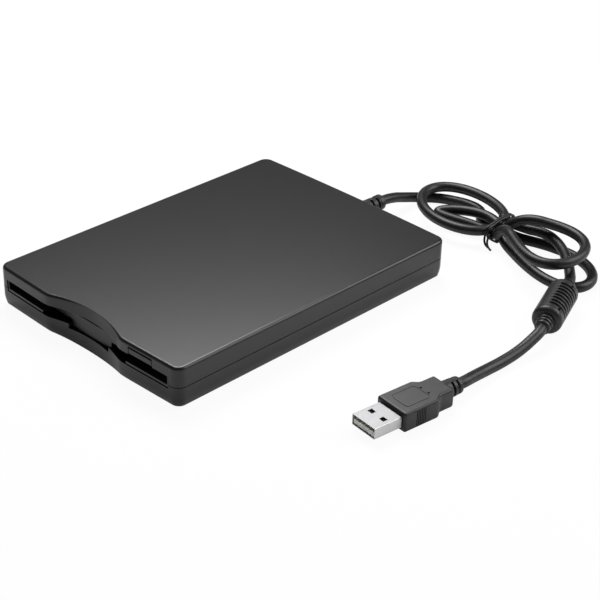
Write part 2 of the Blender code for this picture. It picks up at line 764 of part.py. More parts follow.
def make_bottom_case():
    rings = [outer_ring(STANDOFF + h * TAPER_HEIGHT, i * FOOT_INSET) for h, i in TAPER_SHARES]
    rings.append(outer_ring(Z_PARTING, 0.0))
    rings.append(inner_ring(Z_PARTING))
    rings.append(inner_ring(Z_FLOOR + TAPER_HEIGHT / 2))
    rings.append(inner_ring(Z_FLOOR, INNER_FOOT_INSET))
    case = loft("bottom_case", rings, CASE_BLACK)
    for index, (x, y) in enumerate([case_posts(-1), case_posts(1)]):
        base = (x, y, Z_FLOOR - FLOOR_THICKNESS / 2)
        join(case, rod(f"rear_post_{index}", base, Z_PARTING - base[2], POST_DIAMETER, sides=SMALL_SIDES))
    for index, (x, y) in enumerate(bridge_post_places()):
        base = (x, y, Z_FLOOR - FLOOR_THICKNESS / 2)
        height = BRIDGE_POST_HEIGHT + FLOOR_THICKNESS / 2
        join(case, rod(f"bridge_post_{index}", base, height, BRIDGE_POST_DIAMETER, sides=SMALL_SIDES))
    front = front_line(0) - OVERRUN
    behind = Y_DOOR + WALL + SCOOP_DEPTH_HIGH / 2
    slot = block(
        "slot_below", (-SLOT_HALF_WIDTH, front, Z_FRONT_WALL), (SLOT_HALF_WIDTH, behind, Z_PARTING + OVERRUN)
    )
    notch_half = TAB_HALF_WIDTH + SEAT_GAP
    notch = block(
        "tab_notch",
        (-notch_half, front, Z_FRONT_WALL - TAB_DROP),
        (notch_half, behind, Z_PARTING + OVERRUN),
    )
    cut(case, slot, notch, boot_hole())
    for index, (x, y) in enumerate([case_posts(-1), case_posts(1), *front_screw_places()]):
        base = (x, y, STANDOFF - OVERRUN)
        bore = rod(f"screw_bore_{index}", base, Z_PARTING + 2 * OVERRUN, SCREW_DIAMETER + 2 * PIN_FIT)
        seat = rod(f"screw_seat_{index}", base, SCREW_RECESS + OVERRUN, SCREW_HEAD_DIAMETER + 2 * SEAT_GAP)
        cut(case, bore, seat)
    for index, (x, y) in enumerate(foot_places()):
        base = (x, y, STANDOFF - OVERRUN)
        cut(case, rod(f"foot_recess_{index}", base, FOOT_RECESS + OVERRUN, FOOT_DIAMETER + 2 * SEAT_GAP))
    return case


def make_top_cover():
    rings = [inner_ring(Z_CEILING), inner_ring(Z_COVER_RIM), outer_ring(Z_COVER_RIM, 0.0)]
    for step in range(FILLET_STEPS + 1):
        turn = math.radians(90.0 * step / FILLET_STEPS)
        height = Z_TOP - TOP_FILLET * (1 - math.sin(turn))
        rings.append(outer_ring(height, TOP_FILLET * (1 - math.cos(turn))))
    cover = loft("top_cover", rings, CASE_BLACK)
    for index, (x, y) in enumerate([case_posts(-1), case_posts(1)]):
        height = Z_CEILING + CEILING_THICKNESS / 2 - Z_COVER_RIM
        boss = rod(f"cover_boss_{index}", (x, y, Z_COVER_RIM), height, POST_DIAMETER, sides=SMALL_SIDES)
        depth = SCREW_IN_BOSS + SEAT_GAP + OVERRUN
        bore = rod(f"boss_bore_{index}", (x, y, Z_COVER_RIM - OVERRUN), depth, SCREW_DIAMETER + 2 * PIN_FIT)
        join(cover, boss)
        cut(cover, bore)
    front = front_line(0) - OVERRUN
    behind = Y_DOOR + WALL + SCOOP_DEPTH_HIGH / 2
    slot = block(
        "slot_above", (-SLOT_HALF_WIDTH, front, Z_COVER_RIM - OVERRUN), (SLOT_HALF_WIDTH, behind, Z_LIP)
    )
    notch = block(
        "button_notch",
        (BUTTON_LEFT - SEAT_GAP, front, Z_LIP - OVERRUN),
        (BUTTON_LEFT + BUTTON_WIDTH + SEAT_GAP, Y_DOOR, Z_LIP + BUTTON_RISE + BUTTON_HEIGHT + SEAT_GAP),
    )
    room_half = DOOR_RELIEF_SHARE * SCOOP_HALF_WIDTH + SEAT_GAP
    room = block(
        "door_room", (-room_half, Y_HINGE + DOOR_SKIN, Z_LIP - OVERRUN),
        (room_half, Y_HINGE + DOOR_ROOM, Z_HINGE + DOOR_THICKNESS / 2 + SEAT_GAP),
    )
    return cut(cover, slot, notch, boot_hole(), room)


def make_front_bezel():
    """The sill inside the slot, with the cheeks that carry the dust door."""
    outer = SLOT_HALF_WIDTH - SEAT_GAP
    outline = []
    for share in (0.0, 0.5, 1.0):
        x = -outer + share * (outer - SILL_INNER_END)
        outline.append((x, front_line(x) + SILL_SETBACK))
    outline += [(-SILL_INNER_END, Y_SILL_BAR), (SILL_INNER_END, Y_SILL_BAR)]
    for share in (1.0, 0.5, 0.0):
        x = outer - share * (outer - SILL_INNER_END)
        outline.append((x, front_line(x) + SILL_SETBACK))
    outline += [(outer, Y_SILL_BACK), (-outer, Y_SILL_BACK)]
    bezel = flat("front_bezel", [outline], Z_SILL, Z_SILL_TOP, DOOR_BLACK)
    top = Z_HINGE + CHEEK_REACH
    cheek_outer = BAY_HALF + CHEEK_THICKNESS
    cheek_back = Y_CARRIER + SLIDER_SETBACK - EJECT_TRAVEL - SEAT_GAP
    for side in (-1, 1):
        near, far = sorted((side * BAY_HALF, side * cheek_outer))
        low = (near, Y_DOOR - CHEEK_REACH, Z_SILL)
        join(bezel, block(f"cheek_{side}", low, (far, cheek_back, top)))
        near, far = sorted((side * (BAY_HALF + PIN_FIT), side * (outer - PIN_FIT)))
        low = (near, front_line(outer) + SILL_SETBACK, Z_SILL_TOP - SILL_THICKNESS / 2)
        join(bezel, block(f"slot_end_{side}", low, (far, Y_DOOR, Z_LIP - SEAT_GAP)))
        near, far = sorted((side * (outer - SILL_LEG_WIDTH), side * outer))
        low = (near, Y_SILL_BAR + SEAT_GAP, Z_DECK + SEAT_GAP)
        join(bezel, block(f"leg_{side}", low, (far, Y_SILL_BACK - SEAT_GAP, Z_SILL_TOP - SILL_THICKNESS / 2)))
        start = side * BAY_HALF - (OVERRUN if side > 0 else CHEEK_THICKNESS - SEAT_GAP)
        length = OVERRUN + CHEEK_THICKNESS - SEAT_GAP
        hole = rod(
            f"cheek_hole_{side}", (start, Y_HINGE, Z_HINGE), length, HINGE_PIN_DIAMETER + 2 * PIN_FIT,
            "X", sides=SMALL_SIDES,
        )
        cut(bezel, hole)
    return bezel


def make_dust_door():
    half = BAY_HALF - SEAT_GAP
    top = Z_HINGE + DOOR_TOP_RISE
    relief = Z_HINGE - DOOR_RELIEF_DROP
    relief_half = DOOR_RELIEF_SHARE * SCOOP_HALF_WIDTH
    notch_edge = -half + DOOR_SPRING_SPACE
    notch_level = Z_HINGE - DOOR_SPRING_DROP
    outline = [
        (-half, Z_DOOR_BOTTOM), (half, Z_DOOR_BOTTOM), (half, top), (relief_half, top), (relief_half, relief),
        (-relief_half, relief), (-relief_half, top), (notch_edge, top), (notch_edge, notch_level),
        (-half, notch_level),
    ]
    door = flat("dust_door", [outline], Y_DOOR, Y_DOOR + DOOR_THICKNESS, DOOR_BLACK, "Y")
    tab = block(
        "door_tab", (-TAB_HALF_WIDTH, Y_DOOR, Z_TAB),
        (TAB_HALF_WIDTH, Y_DOOR + DOOR_THICKNESS, Z_DOOR_BOTTOM + DOOR_THICKNESS),
    )
    join(door, tab)
    reach = CHEEK_THICKNESS - 2 * SEAT_GAP
    left = (-BAY_HALF - reach, Y_HINGE, Z_HINGE)
    length = notch_edge + HINGE_PIN_DIAMETER - left[0]
    join(door, rod("left_pin", left, length, HINGE_PIN_DIAMETER, "X", sides=SMALL_SIDES))
    right = (half - HINGE_PIN_DIAMETER, Y_HINGE, Z_HINGE)
    length = BAY_HALF + reach - right[0]
    join(door, rod("right_pin", right, length, HINGE_PIN_DIAMETER, "X", sides=SMALL_SIDES))
    return door


def coil(centre, axis, diameter, length, turns, per_turn=8):
    """Points of a helix about an axis, with its middle line starting at a centre."""
    points = []
    for step in range(turns * per_turn + 1):
        turn = math.tau * step / per_turn
        along = length * step / (turns * per_turn)
        across = (diameter / 2 * math.cos(turn), diameter / 2 * math.sin(turn))
        local = {"X": (along, *across), "Y": (across[0], along, across[1]), "Z": (*across, along)}
        points.append(tuple(a + b for a, b in zip(centre, local[axis])))
    return points


def make_door_spring():
    half = BAY_HALF - SEAT_GAP
    start = -half + 2 * SPRING_WIRE
    length = DOOR_SPRING_SPACE - 4 * SPRING_WIRE
    points = coil((start, Y_HINGE, Z_HINGE), "X", HINGE_PIN_DIAMETER + 3 * SPRING_WIRE, length, 3)
    return tube("dust_door_spring", points, SPRING_WIRE, BRIGHT, 0)


def make_eject_button():
    low_z = Z_LIP + BUTTON_RISE
    right = BUTTON_LEFT + BUTTON_WIDTH
    front = front_line((BUTTON_LEFT + right) / 2)
    back = front + BUTTON_DEPTH
    button = block("eject_button", (BUTTON_LEFT, front, low_z), (right, back, low_z + BUTTON_HEIGHT), CASE_BLACK)
    bevel(button, SEAT_GAP, 1)
    middle = (BUTTON_LEFT + right) / 2
    stem_low = Z_SLIDER + BUTTON_STEM_RISE
    stem = block(
        "button_stem",
        (middle - BUTTON_STEM_WIDTH / 2, back - BUTTON_DEPTH / 2, stem_low),
        (middle + BUTTON_STEM_WIDTH / 2, Y_CHASSIS - SEAT_GAP, stem_low + BUTTON_STEM_HEIGHT),
    )
    return join(button, stem)


def make_feet():
    height = STANDOFF + FOOT_RECESS - SEAT_GAP
    for index, (x, y) in enumerate(foot_places(), 1):
        rod(f"rubber_foot_{index}", (x, y, 0), height, FOOT_DIAMETER, finish=RUBBER)


def case_screw(name, place, length):
    """A pan screw that points up, its head in the underside."""
    head, shaft = SCREW_HEAD_DIAMETER / 2, SCREW_DIAMETER / 2
    under = STANDOFF + SCREW_RECESS - SEAT_GAP
    bottom = under - SCREW_HEAD_HEIGHT
    profile = [(0, length), (shaft, length), (shaft, under), (head, under), (head, bottom), (0, bottom)]
    return smooth(turned(name, profile, Matrix.Translation((*place, 0)), STEEL, SMALL_SIDES))


def make_case_screws():
    for index, place in enumerate([case_posts(-1), case_posts(1)], 1):
        case_screw(f"rear_case_screw_{index}", place, Z_COVER_RIM + SCREW_IN_BOSS)
    for index, place in enumerate(front_screw_places(), 1):
        case_screw(f"front_case_screw_{index}", place, Z_DECK)


# Chassis and the sliding pieces
def pin_places():
    return (Y_CARRIER + PIN_INSET, Y_CARRIER_BACK - PIN_INSET)


def plate_screw_places():
    x = CHASSIS_HALF - PLATE_SCREW_INSET
    return [(side * x, Y_CHASSIS_BACK - PLATE_SCREW_INSET) for side in (-1, 1)]


PIN_Z = Z_CARRIER_TOP - PIN_BELOW_TOP
PIN_SLOT = PIN_DIAMETER + 2 * SEAT_GAP
HOOK_LEVEL = Z_DECK + RAIL_LIFT
Y_FIXED_HOOK = Y_SILL_BACK + 2 * SEAT_GAP
Y_MOVING_HOOK = Y_FIXED_HOOK + HOOK_TAB + SEAT_GAP + SPRING_LENGTH + SEAT_GAP


def slot_outline(first, second, width, steps=4):
    """A slot with round ends between two points of a plane."""
    heading = math.degrees(math.atan2(second[1] - first[1], second[0] - first[0]))
    return arc(first, width / 2, heading + 90.0, heading + 270.0, steps) + arc(
        second, width / 2, heading - 90.0, heading + 90.0, steps
    )


def lever_post():
    """The post that carries the shutter lever, with a collar under it."""
    pin, collar = LEVER_PIN_DIAMETER / 2, LEVER_PIN_DIAMETER / 2 + LEVER_COLLAR
    top = Z_LEVER + LEVER_THICKNESS + SEAT_GAP + LEVER_COLLAR
    under = Z_LEVER - SEAT_GAP
    foot = under - 2 * LEVER_COLLAR
    profile = [(0, top), (pin, top), (pin, under), (collar, under), (collar, foot), (pin, foot)]
    profile += [(pin, Z_DECK - CHASSIS_SHEET / 2), (0, Z_DECK - CHASSIS_SHEET / 2)]
    return turned("lever_post", profile, Matrix.Translation((LEVER_PIVOT_X, Y_LEVER, 0)), steps=SMALL_SIDES)


def make_chassis():
    deck = [rectangle(-CHASSIS_HALF, Y_CHASSIS, CHASSIS_HALF, Y_CHASSIS_BACK)]
    deck += [circle(place, SCREW_DIAMETER + 2 * PIN_FIT) for place in front_screw_places()]
    chassis = flat("chassis_frame", deck, Z_CHASSIS, Z_DECK, STEEL)
    join(chassis, lever_post())
    wall_top = Z_TOP_PLATE - SEAT_GAP
    for side in (-1, 1):
        wall = [rectangle(Y_CHASSIS + HOOK_TAB, Z_CHASSIS + CHASSIS_SHEET / 2, Y_CHASSIS_BACK, wall_top)]
        for y in pin_places():
            wall.append(slot_outline((y, PIN_Z - CARRIER_DROP), (y, PIN_Z), PIN_SLOT))
        near, far = sorted((side * CHASSIS_INNER, side * CHASSIS_HALF))
        join(chassis, flat(f"chassis_wall_{side}", wall, near, far, axis="X"))
        near, far = sorted((side * (RAIL_INNER - HOOK_WIDTH), side * RAIL_INNER))
        tab = block(
            f"fixed_hook_{side}",
            (near, Y_FIXED_HOOK, Z_CHASSIS + CHASSIS_SHEET / 2),
            (far, Y_FIXED_HOOK + HOOK_TAB, HOOK_LEVEL + HOOK_HEIGHT),
        )
        join(chassis, tab)
    for index, (x, y) in enumerate(plate_screw_places()):
        base = (x, y, Z_CHASSIS + CHASSIS_SHEET / 2)
        boss = rod(f"plate_boss_{index}", base, wall_top - base[2], PLATE_BOSS_DIAMETER, sides=SMALL_SIDES)
        bore_base = (x, y, Z_FLANGE)
        bore = rod(f"plate_bore_{index}", bore_base, Z_CEILING - Z_FLANGE, PLATE_SCREW_DIAMETER + 2 * PIN_FIT)
        join(chassis, boss)
        cut(chassis, bore)
    return chassis


def make_top_plate():
    front = Y_CHASSIS + TOP_PLATE_INSET
    opening = rectangle(
        -HEAD_OPENING_HALF, Y_CARRIER_BACK - HEAD_OPENING_LENGTH, HEAD_OPENING_HALF,
        Y_CARRIER_BACK - HEAD_OPENING_LENGTH + TOP_OPENING_LENGTH,
    )
    plate = [rectangle(-CHASSIS_HALF, front, CHASSIS_HALF, Y_CHASSIS_BACK - SEAT_GAP), opening]
    plate += [circle(place, PLATE_SCREW_DIAMETER + 2 * PIN_FIT) for place in plate_screw_places()]
    return flat("mechanism_top_plate", plate, Z_TOP_PLATE, Z_TOP_PLATE + TOP_SHEET, STEEL)


def make_plate_screws():
    under = Z_TOP_PLATE + TOP_SHEET + SEAT_GAP / 3
    head, shaft = PLATE_SCREW_HEAD / 2, PLATE_SCREW_DIAMETER / 2
    top = under + PLATE_SCREW_HEAD_HEIGHT
    low = Z_TOP_PLATE - CARRIER_DROP
    profile = [(0, top), (head, top), (head, under), (shaft, under), (shaft, low), (0, low)]
    for index, place in enumerate(plate_screw_places(), 1):
        place = Matrix.Translation((*place, 0))
        turned(f"mechanism_screw_{index}", profile, place, BRIGHT, SMALL_SIDES)


def make_carrier():
    """The tray that holds the disk, with two studs on each side that ride in the slots."""
    notch_front = Y_CARRIER_BACK - HEAD_OPENING_LENGTH
    outline = [
        (-CARRIER_HALF, Y_CARRIER), (CARRIER_HALF, Y_CARRIER), (CARRIER_HALF, Y_CARRIER_BACK),
        (HEAD_OPENING_HALF, Y_CARRIER_BACK), (HEAD_OPENING_HALF, notch_front),
        (-HEAD_OPENING_HALF, notch_front), (-HEAD_OPENING_HALF, Y_CARRIER_BACK), (-CARRIER_HALF, Y_CARRIER_BACK),
    ]
    tray = flat("disk_carrier", [outline], Z_CARRIER_TOP, Z_CARRIER_TOP + CARRIER_SHEET, STEEL)
    for side in (-1, 1):
        near, far = sorted((side * BAY_HALF, side * CARRIER_HALF))
        low = (near, Y_CARRIER, Z_FLANGE)
        join(tray, block(f"carrier_side_{side}", low, (far, Y_CARRIER_BACK, Z_CARRIER_TOP + CARRIER_SHEET / 2)))
        near, far = sorted((side * (BAY_HALF - CARRIER_FLANGE), side * (BAY_HALF + CARRIER_SHEET / 2)))
        join(tray, block(f"carrier_flange_{side}", (near, Y_CARRIER, Z_FLANGE), (far, Y_CARRIER_BACK, Z_BAY)))
        start = side * BAY_HALF + (CARRIER_SHEET / 2 if side > 0 else -CARRIER_SHEET / 2)
        end = side * (CHASSIS_HALF - PIN_FIT)
        for y in pin_places():
            base = (min(start, end), y, PIN_Z)
            stud = rod(f"stud_{side}_{y:.3f}", base, abs(end - start), PIN_DIAMETER, "X", sides=SMALL_SIDES)
            join(tray, stud)
    return tray


def make_slider():
    """The plate between the eject button and the carrier, with slanting slots in its side rails."""
    front = Y_CARRIER + SLIDER_SETBACK
    back = Y_CARRIER_BACK - SLIDER_SETBACK
    inner = RAIL_OUTER - SLIDER_SIDE
    edge = RAIL_OUTER - PIN_FIT
    middle = BUTTON_LEFT + BUTTON_WIDTH / 2
    left, right = middle - BUTTON_STEM_WIDTH / 2, middle + BUTTON_STEM_WIDTH / 2
    outline = [
        (-edge, front), (edge, front), (edge, back), (inner, back), (inner, front + SLIDER_BAR),
        (-inner, front + SLIDER_BAR), (-inner, back), (-edge, back),
    ]
    slider = flat("eject_slider", [outline], Z_SLIDER, Z_SLIDER + SLIDER_SHEET, STEEL)
    arm_back = front + SLIDER_BAR / 2
    join(slider, block("slider_arm", (left, Y_CHASSIS, Z_SLIDER), (right, arm_back, Z_SLIDER + SLIDER_SHEET)))
    for side in (-1, 1):
        rail_back = back - PIN_FIT
        rail = [rectangle(front + RAIL_END_INSET, HOOK_LEVEL, rail_back, Z_SLIDER + SLIDER_SHEET / 2)]
        for y in pin_places():
            rail.append(slot_outline((y + EJECT_TRAVEL, PIN_Z - CARRIER_DROP), (y, PIN_Z), PIN_SLOT))
        near, far = sorted((side * RAIL_INNER, side * RAIL_OUTER))
        join(slider, flat(f"slider_rail_{side}", rail, near, far, axis="X"))
        near, far = sorted((side * (RAIL_INNER - HOOK_WIDTH), side * (RAIL_INNER + RAIL_SHEET / 2)))
        hook = block(
            f"moving_hook_{side}", (near, Y_MOVING_HOOK, HOOK_LEVEL),
            (far, Y_MOVING_HOOK + HOOK_TAB, HOOK_LEVEL + HOOK_HEIGHT),
        )
        join(slider, hook)
    return slider


def make_slider_spring():
    x = RAIL_INNER - HOOK_WIDTH / 2
    z = HOOK_LEVEL + HOOK_HEIGHT / 2
    start = Y_FIXED_HOOK + HOOK_TAB + SEAT_GAP
    points = coil((x, start, z), "Y", SPRING_DIAMETER, SPRING_LENGTH, SPRING_TURNS)
    return tube("slider_spring", points, SPRING_WIRE, BRIGHT, 0)


# Spindle motor
def make_motor_board():
    outline = rectangle(
        -MOTOR_BOARD_HALF_WIDTH, Y_SPINDLE - MOTOR_BOARD_FRONT, MOTOR_BOARD_HALF_WIDTH, Y_SPINDLE + MOTOR_BOARD_BACK
    )
    hole = circle((0, Y_SPINDLE), BEARING_DIAMETER + 2 * SEAT_GAP, ROUND_SIDES)
    return flat("spindle_motor_board", [outline, hole], Z_BOARD, Z_BOARD_TOP, BOARD)


Z_COIL = Z_BOARD_TOP + SEAT_GAP
Z_ROTOR = max(Z_COIL + COIL_THICKNESS, Z_BOARD + BEARING_HEIGHT) + SEAT_GAP
Z_ROTOR_TOP = Z_ROTOR + ROTOR_THICKNESS
Z_HUB = Z_ROTOR_TOP + HUB_HEIGHT


def make_coils():
    ring = [
        circle((0, Y_SPINDLE), 2 * COIL_CIRCLE_RADIUS + COIL_DIAMETER / 2, ROUND_SIDES),
        circle((0, Y_SPINDLE), 2 * COIL_CIRCLE_RADIUS - COIL_DIAMETER / 2, ROUND_SIDES),
    ]
    stator = flat("stator_coils", ring, Z_COIL + COIL_THICKNESS / 4, Z_COIL + COIL_THICKNESS * 3 / 4, COPPER)
    for index in range(COIL_COUNT):
        turn = math.tau * index / COIL_COUNT
        x = COIL_CIRCLE_RADIUS * math.cos(turn)
        y = Y_SPINDLE + COIL_CIRCLE_RADIUS * math.sin(turn)
        join(stator, rod(f"coil_{index}", (x, y, Z_COIL), COIL_THICKNESS, COIL_DIAMETER, sides=SMALL_SIDES))
    return stator


def make_bearing():
    outer, inner = BEARING_DIAMETER / 2, SHAFT_DIAMETER / 2 + PIN_FIT
    top = Z_BOARD + BEARING_HEIGHT
    profile = [(inner, Z_BOARD), (inner, top), (outer, top), (outer, Z_BOARD)]
    place = Matrix.Translation((0, Y_SPINDLE, 0))
    return turned("spindle_bearing", profile, place, BRASS, ROUND_SIDES, ring=True)


def make_rotor():
    rim = ROTOR_DIAMETER / 2
    rim_low = Z_BOARD_TOP + SEAT_GAP
    hub, nose, shaft = HUB_DIAMETER / 2, HUB_NOSE_DIAMETER / 2, SHAFT_DIAMETER / 2
    profile = [
        (0, Z_HUB + HUB_NOSE_HEIGHT), (nose, Z_HUB + HUB_NOSE_HEIGHT), (nose, Z_HUB), (hub, Z_HUB),
        (hub, Z_ROTOR_TOP), (rim, Z_ROTOR_TOP), (rim, rim_low), (rim - ROTOR_RIM, rim_low),
        (rim - ROTOR_RIM, Z_ROTOR), (shaft, Z_ROTOR), (shaft, Z_BOARD), (0, Z_BOARD),
    ]
    rotor = turned("spindle_rotor", profile, Matrix.Translation((0, Y_SPINDLE, 0)), STEEL, ROUND_SIDES)
    base = (DRIVE_PIN_RADIUS, Y_SPINDLE, Z_ROTOR + ROTOR_THICKNESS / 2)
    height = ROTOR_THICKNESS / 2 + DRIVE_PIN_HEIGHT
    return join(rotor, rod("drive_pin", base, height, DRIVE_PIN_DIAMETER, sides=SMALL_SIDES))


# Heads, carriage and stepper
Z_CARRIAGE = Z_DECK + CARRIAGE_LIFT
Z_CARRIAGE_TOP = Z_CARRIAGE + CARRIAGE_HEIGHT
Z_POST = Z_CARRIAGE_TOP + ARM_POST_HEIGHT
Z_ARM_HINGE = Z_POST + ARM_HINGE_RISE
Y_ARM_HINGE = Y_CARRIAGE_BACK - ARM_POST_LENGTH / 2
Z_LOWER_ARM = Z_BOARD_TOP + LOWER_ARM_LIFT
Z_PEDESTAL = Z_LOWER_ARM + LOWER_ARM_THICKNESS + PEDESTAL_HEIGHT
ROD_Z = Z_DECK + ROD_RISE
SCREW_X = -(CARRIAGE_LEFT + SEAT_GAP + THREAD_DIAMETER / 2)
SCREW_Z = Z_BOARD + STEPPER_DIAMETER / 2
EAR_INNER = UPPER_ARM_HALF_WIDTH + SEAT_GAP
EAR_OUTER = EAR_INNER + ARM_EAR_WIDTH


def make_carriage():
    body = block(
        "head_carriage", (-CARRIAGE_LEFT, Y_CARRIAGE, Z_CARRIAGE),
        (CARRIAGE_RIGHT, Y_CARRIAGE_BACK, Z_CARRIAGE_TOP), CHIP,
    )
    arm = block(
        "lower_arm", (-LOWER_ARM_HALF_WIDTH, Y_ARM_FRONT, Z_LOWER_ARM),
        (LOWER_ARM_HALF_WIDTH, Y_CARRIAGE + CLIP_LENGTH, Z_LOWER_ARM + LOWER_ARM_THICKNESS),
    )
    pedestal = block(
        "pedestal", (-HEAD_WIDTH / 2, Y_ARM_FRONT, Z_LOWER_ARM + LOWER_ARM_THICKNESS / 2),
        (HEAD_WIDTH / 2, Y_ARM_FRONT + HEAD_LENGTH, Z_PEDESTAL),
    )
    post_front = Y_CARRIAGE_BACK - ARM_POST_LENGTH
    post = block(
        "arm_post", (-EAR_OUTER, post_front, Z_CARRIAGE_TOP - ARM_POST_HEIGHT), (EAR_OUTER, Y_CARRIAGE_BACK, Z_POST)
    )
    join(body, arm, pedestal, post)
    for side in (-1, 1):
        near, far = sorted((side * EAR_INNER, side * EAR_OUTER))
        low = (near, post_front + SEAT_GAP, Z_POST - ARM_POST_HEIGHT / 2)
        high = (far, Y_CARRIAGE_BACK - SEAT_GAP, Z_ARM_HINGE + ARM_EAR_RISE)
        join(body, block(f"arm_ear_{side}", low, high))
    hinge_base = (-EAR_OUTER - OVERRUN, Y_ARM_HINGE, Z_ARM_HINGE)
    hinge_length = 2 * (EAR_OUTER + OVERRUN)
    rod_bore = rod(
        "rod_bore", (ROD_X, Y_CARRIAGE - OVERRUN, ROD_Z), CARRIAGE_LENGTH + 2 * OVERRUN,
        ROD_DIAMETER + 2 * PIN_FIT, "Y", sides=SMALL_SIDES,
    )
    pin_bore = rod(
        "arm_pin_bore", hinge_base, hinge_length, HINGE_PIN_DIAMETER + 2 * PIN_FIT, "X", sides=SMALL_SIDES
    )
    return cut(body, rod_bore, pin_bore)


def make_lower_head():
    low = (-HEAD_WIDTH / 2, Y_ARM_FRONT, Z_PEDESTAL + SEAT_GAP)
    high = (HEAD_WIDTH / 2, Y_ARM_FRONT + HEAD_LENGTH, Z_PEDESTAL + SEAT_GAP + HEAD_THICKNESS)
    return block("lower_head", low, high, PALE)


def make_upper_arm(hinge):
    """Built level about its hinge, then lifted to its rest angle by the hinge's empty."""
    reach = Y_ARM_HINGE - Y_ARM_FRONT
    half = UPPER_ARM_THICKNESS / 2
    arm = block(
        "upper_head_arm", (-UPPER_ARM_HALF_WIDTH, -reach, -half), (UPPER_ARM_HALF_WIDTH, 0, half), STEEL
    )
    barrel_start = -UPPER_ARM_HALF_WIDTH + ARM_SPRING_SPACE
    barrel = rod(
        "arm_barrel", (barrel_start, 0, 0), UPPER_ARM_HALF_WIDTH - barrel_start, ARM_BARREL_DIAMETER, "X",
        sides=SMALL_SIDES,
    )
    clearance = block(
        "arm_spring_notch", (-UPPER_ARM_HALF_WIDTH - OVERRUN, -ARM_BARREL_DIAMETER, -half - OVERRUN),
        (barrel_start, OVERRUN, half + OVERRUN),
    )
    pin_start = -EAR_OUTER + SEAT_GAP
    pin = rod(
        "arm_pin", (pin_start, 0, 0), -2 * pin_start, HINGE_PIN_DIAMETER, "X", sides=SMALL_SIDES
    )
    cut(arm, clearance)
    join(arm, barrel, pin)
    top = -half - SEAT_GAP
    head = block(
        "upper_head", (-HEAD_WIDTH / 2, -reach, top - HEAD_THICKNESS), (HEAD_WIDTH / 2, HEAD_LENGTH - reach, top), PALE
    )
    start = -UPPER_ARM_HALF_WIDTH + 2 * SPRING_WIRE
    length = ARM_SPRING_SPACE - 4 * SPRING_WIRE
    points = coil((start, 0, 0), "X", HINGE_PIN_DIAMETER + 3 * SPRING_WIRE, length, 3)
    spring = tube("head_arm_spring", points, SPRING_WIRE, BRIGHT, 0)
    for piece in (arm, barrel, clearance, pin, head, spring):
        piece.parent = hinge
    return arm, head, spring


def clip_starts():
    return (Y_CARRIAGE - HEAD_TRAVEL - SEAT_GAP - CLIP_LENGTH, Y_CARRIAGE_BACK + SEAT_GAP)


def make_guide_rod():
    start, last = clip_starts()
    length = last + CLIP_LENGTH - start
    return rod("guide_rod", (ROD_X, start, ROD_Z), length, ROD_DIAMETER, "Y", BRIGHT, SMALL_SIDES)


def make_rod_bracket():
    """Two uprights that hold the guide rod's ends, joined by a strip beside the carriage."""
    starts = clip_starts()
    left = ROD_X - CLIP_WIDTH / 2
    inner, outer = CARRIAGE_RIGHT + SEAT_GAP, CONTROL_LEFT - SEAT_GAP
    top = ROD_Z + ROD_DIAMETER / 2 + CLIP_CAP
    low, high = (inner, starts[0], Z_BOARD), (outer, starts[1] + CLIP_LENGTH, Z_BOARD_TOP)
    bracket = block("guide_rod_bracket", low, high, PALE)
    for index, start in enumerate(starts):
        join(bracket, block(f"upright_{index}", (left, start, Z_BOARD), (outer, start + CLIP_LENGTH, top)))
    for index, start in enumerate(starts):
        base = (ROD_X, start - OVERRUN, ROD_Z)
        length = CLIP_LENGTH + 2 * OVERRUN
        cut(bracket, rod(f"clip_bore_{index}", base, length, ROD_DIAMETER + 2 * PIN_FIT, "Y", sides=SMALL_SIDES))
    return bracket


Y_SCREW = Y_CARRIAGE - SCREW_FRONT_OVERRUN
Y_BRACKET_BACK = Y_CARRIAGE_BACK + SCREW_BACK_OVERRUN
Y_STEPPER = Y_BRACKET_BACK + BRACKET_SHEET + SEAT_GAP


def make_lead_screw():
    """A shaft with raised threads, a pitch apart."""
    shaft, thread = LEAD_SCREW_DIAMETER / 2, THREAD_DIAMETER / 2
    length = Y_STEPPER - SEAT_GAP - Y_SCREW + BRACKET_SHEET
    profile = [(0, length), (shaft, length)]
    crest = THREAD_PITCH / 6
    level = length - BRACKET_SHEET - 2 * THREAD_PITCH / 3
    while level > BRACKET_SHEET + THREAD_PITCH:
        profile += [(shaft, level), (thread, level - crest), (thread, level - 2 * crest), (shaft, level - 3 * crest)]
        level -= THREAD_PITCH
    profile += [(shaft, 0), (0, 0)]
    facing = Matrix(((1, 0, 0, 0), (0, 0, 1, 0), (0, -1, 0, 0), (0, 0, 0, 1)))
    place = Matrix.Translation((SCREW_X, Y_SCREW - BRACKET_SHEET, SCREW_Z)) @ facing
    return turned("lead_screw", profile, place, BRIGHT, 8)


def make_stepper():
    base = (SCREW_X, Y_STEPPER, SCREW_Z)
    return rod("stepper_motor", base, STEPPER_LENGTH, STEPPER_DIAMETER, "Y", STEEL)


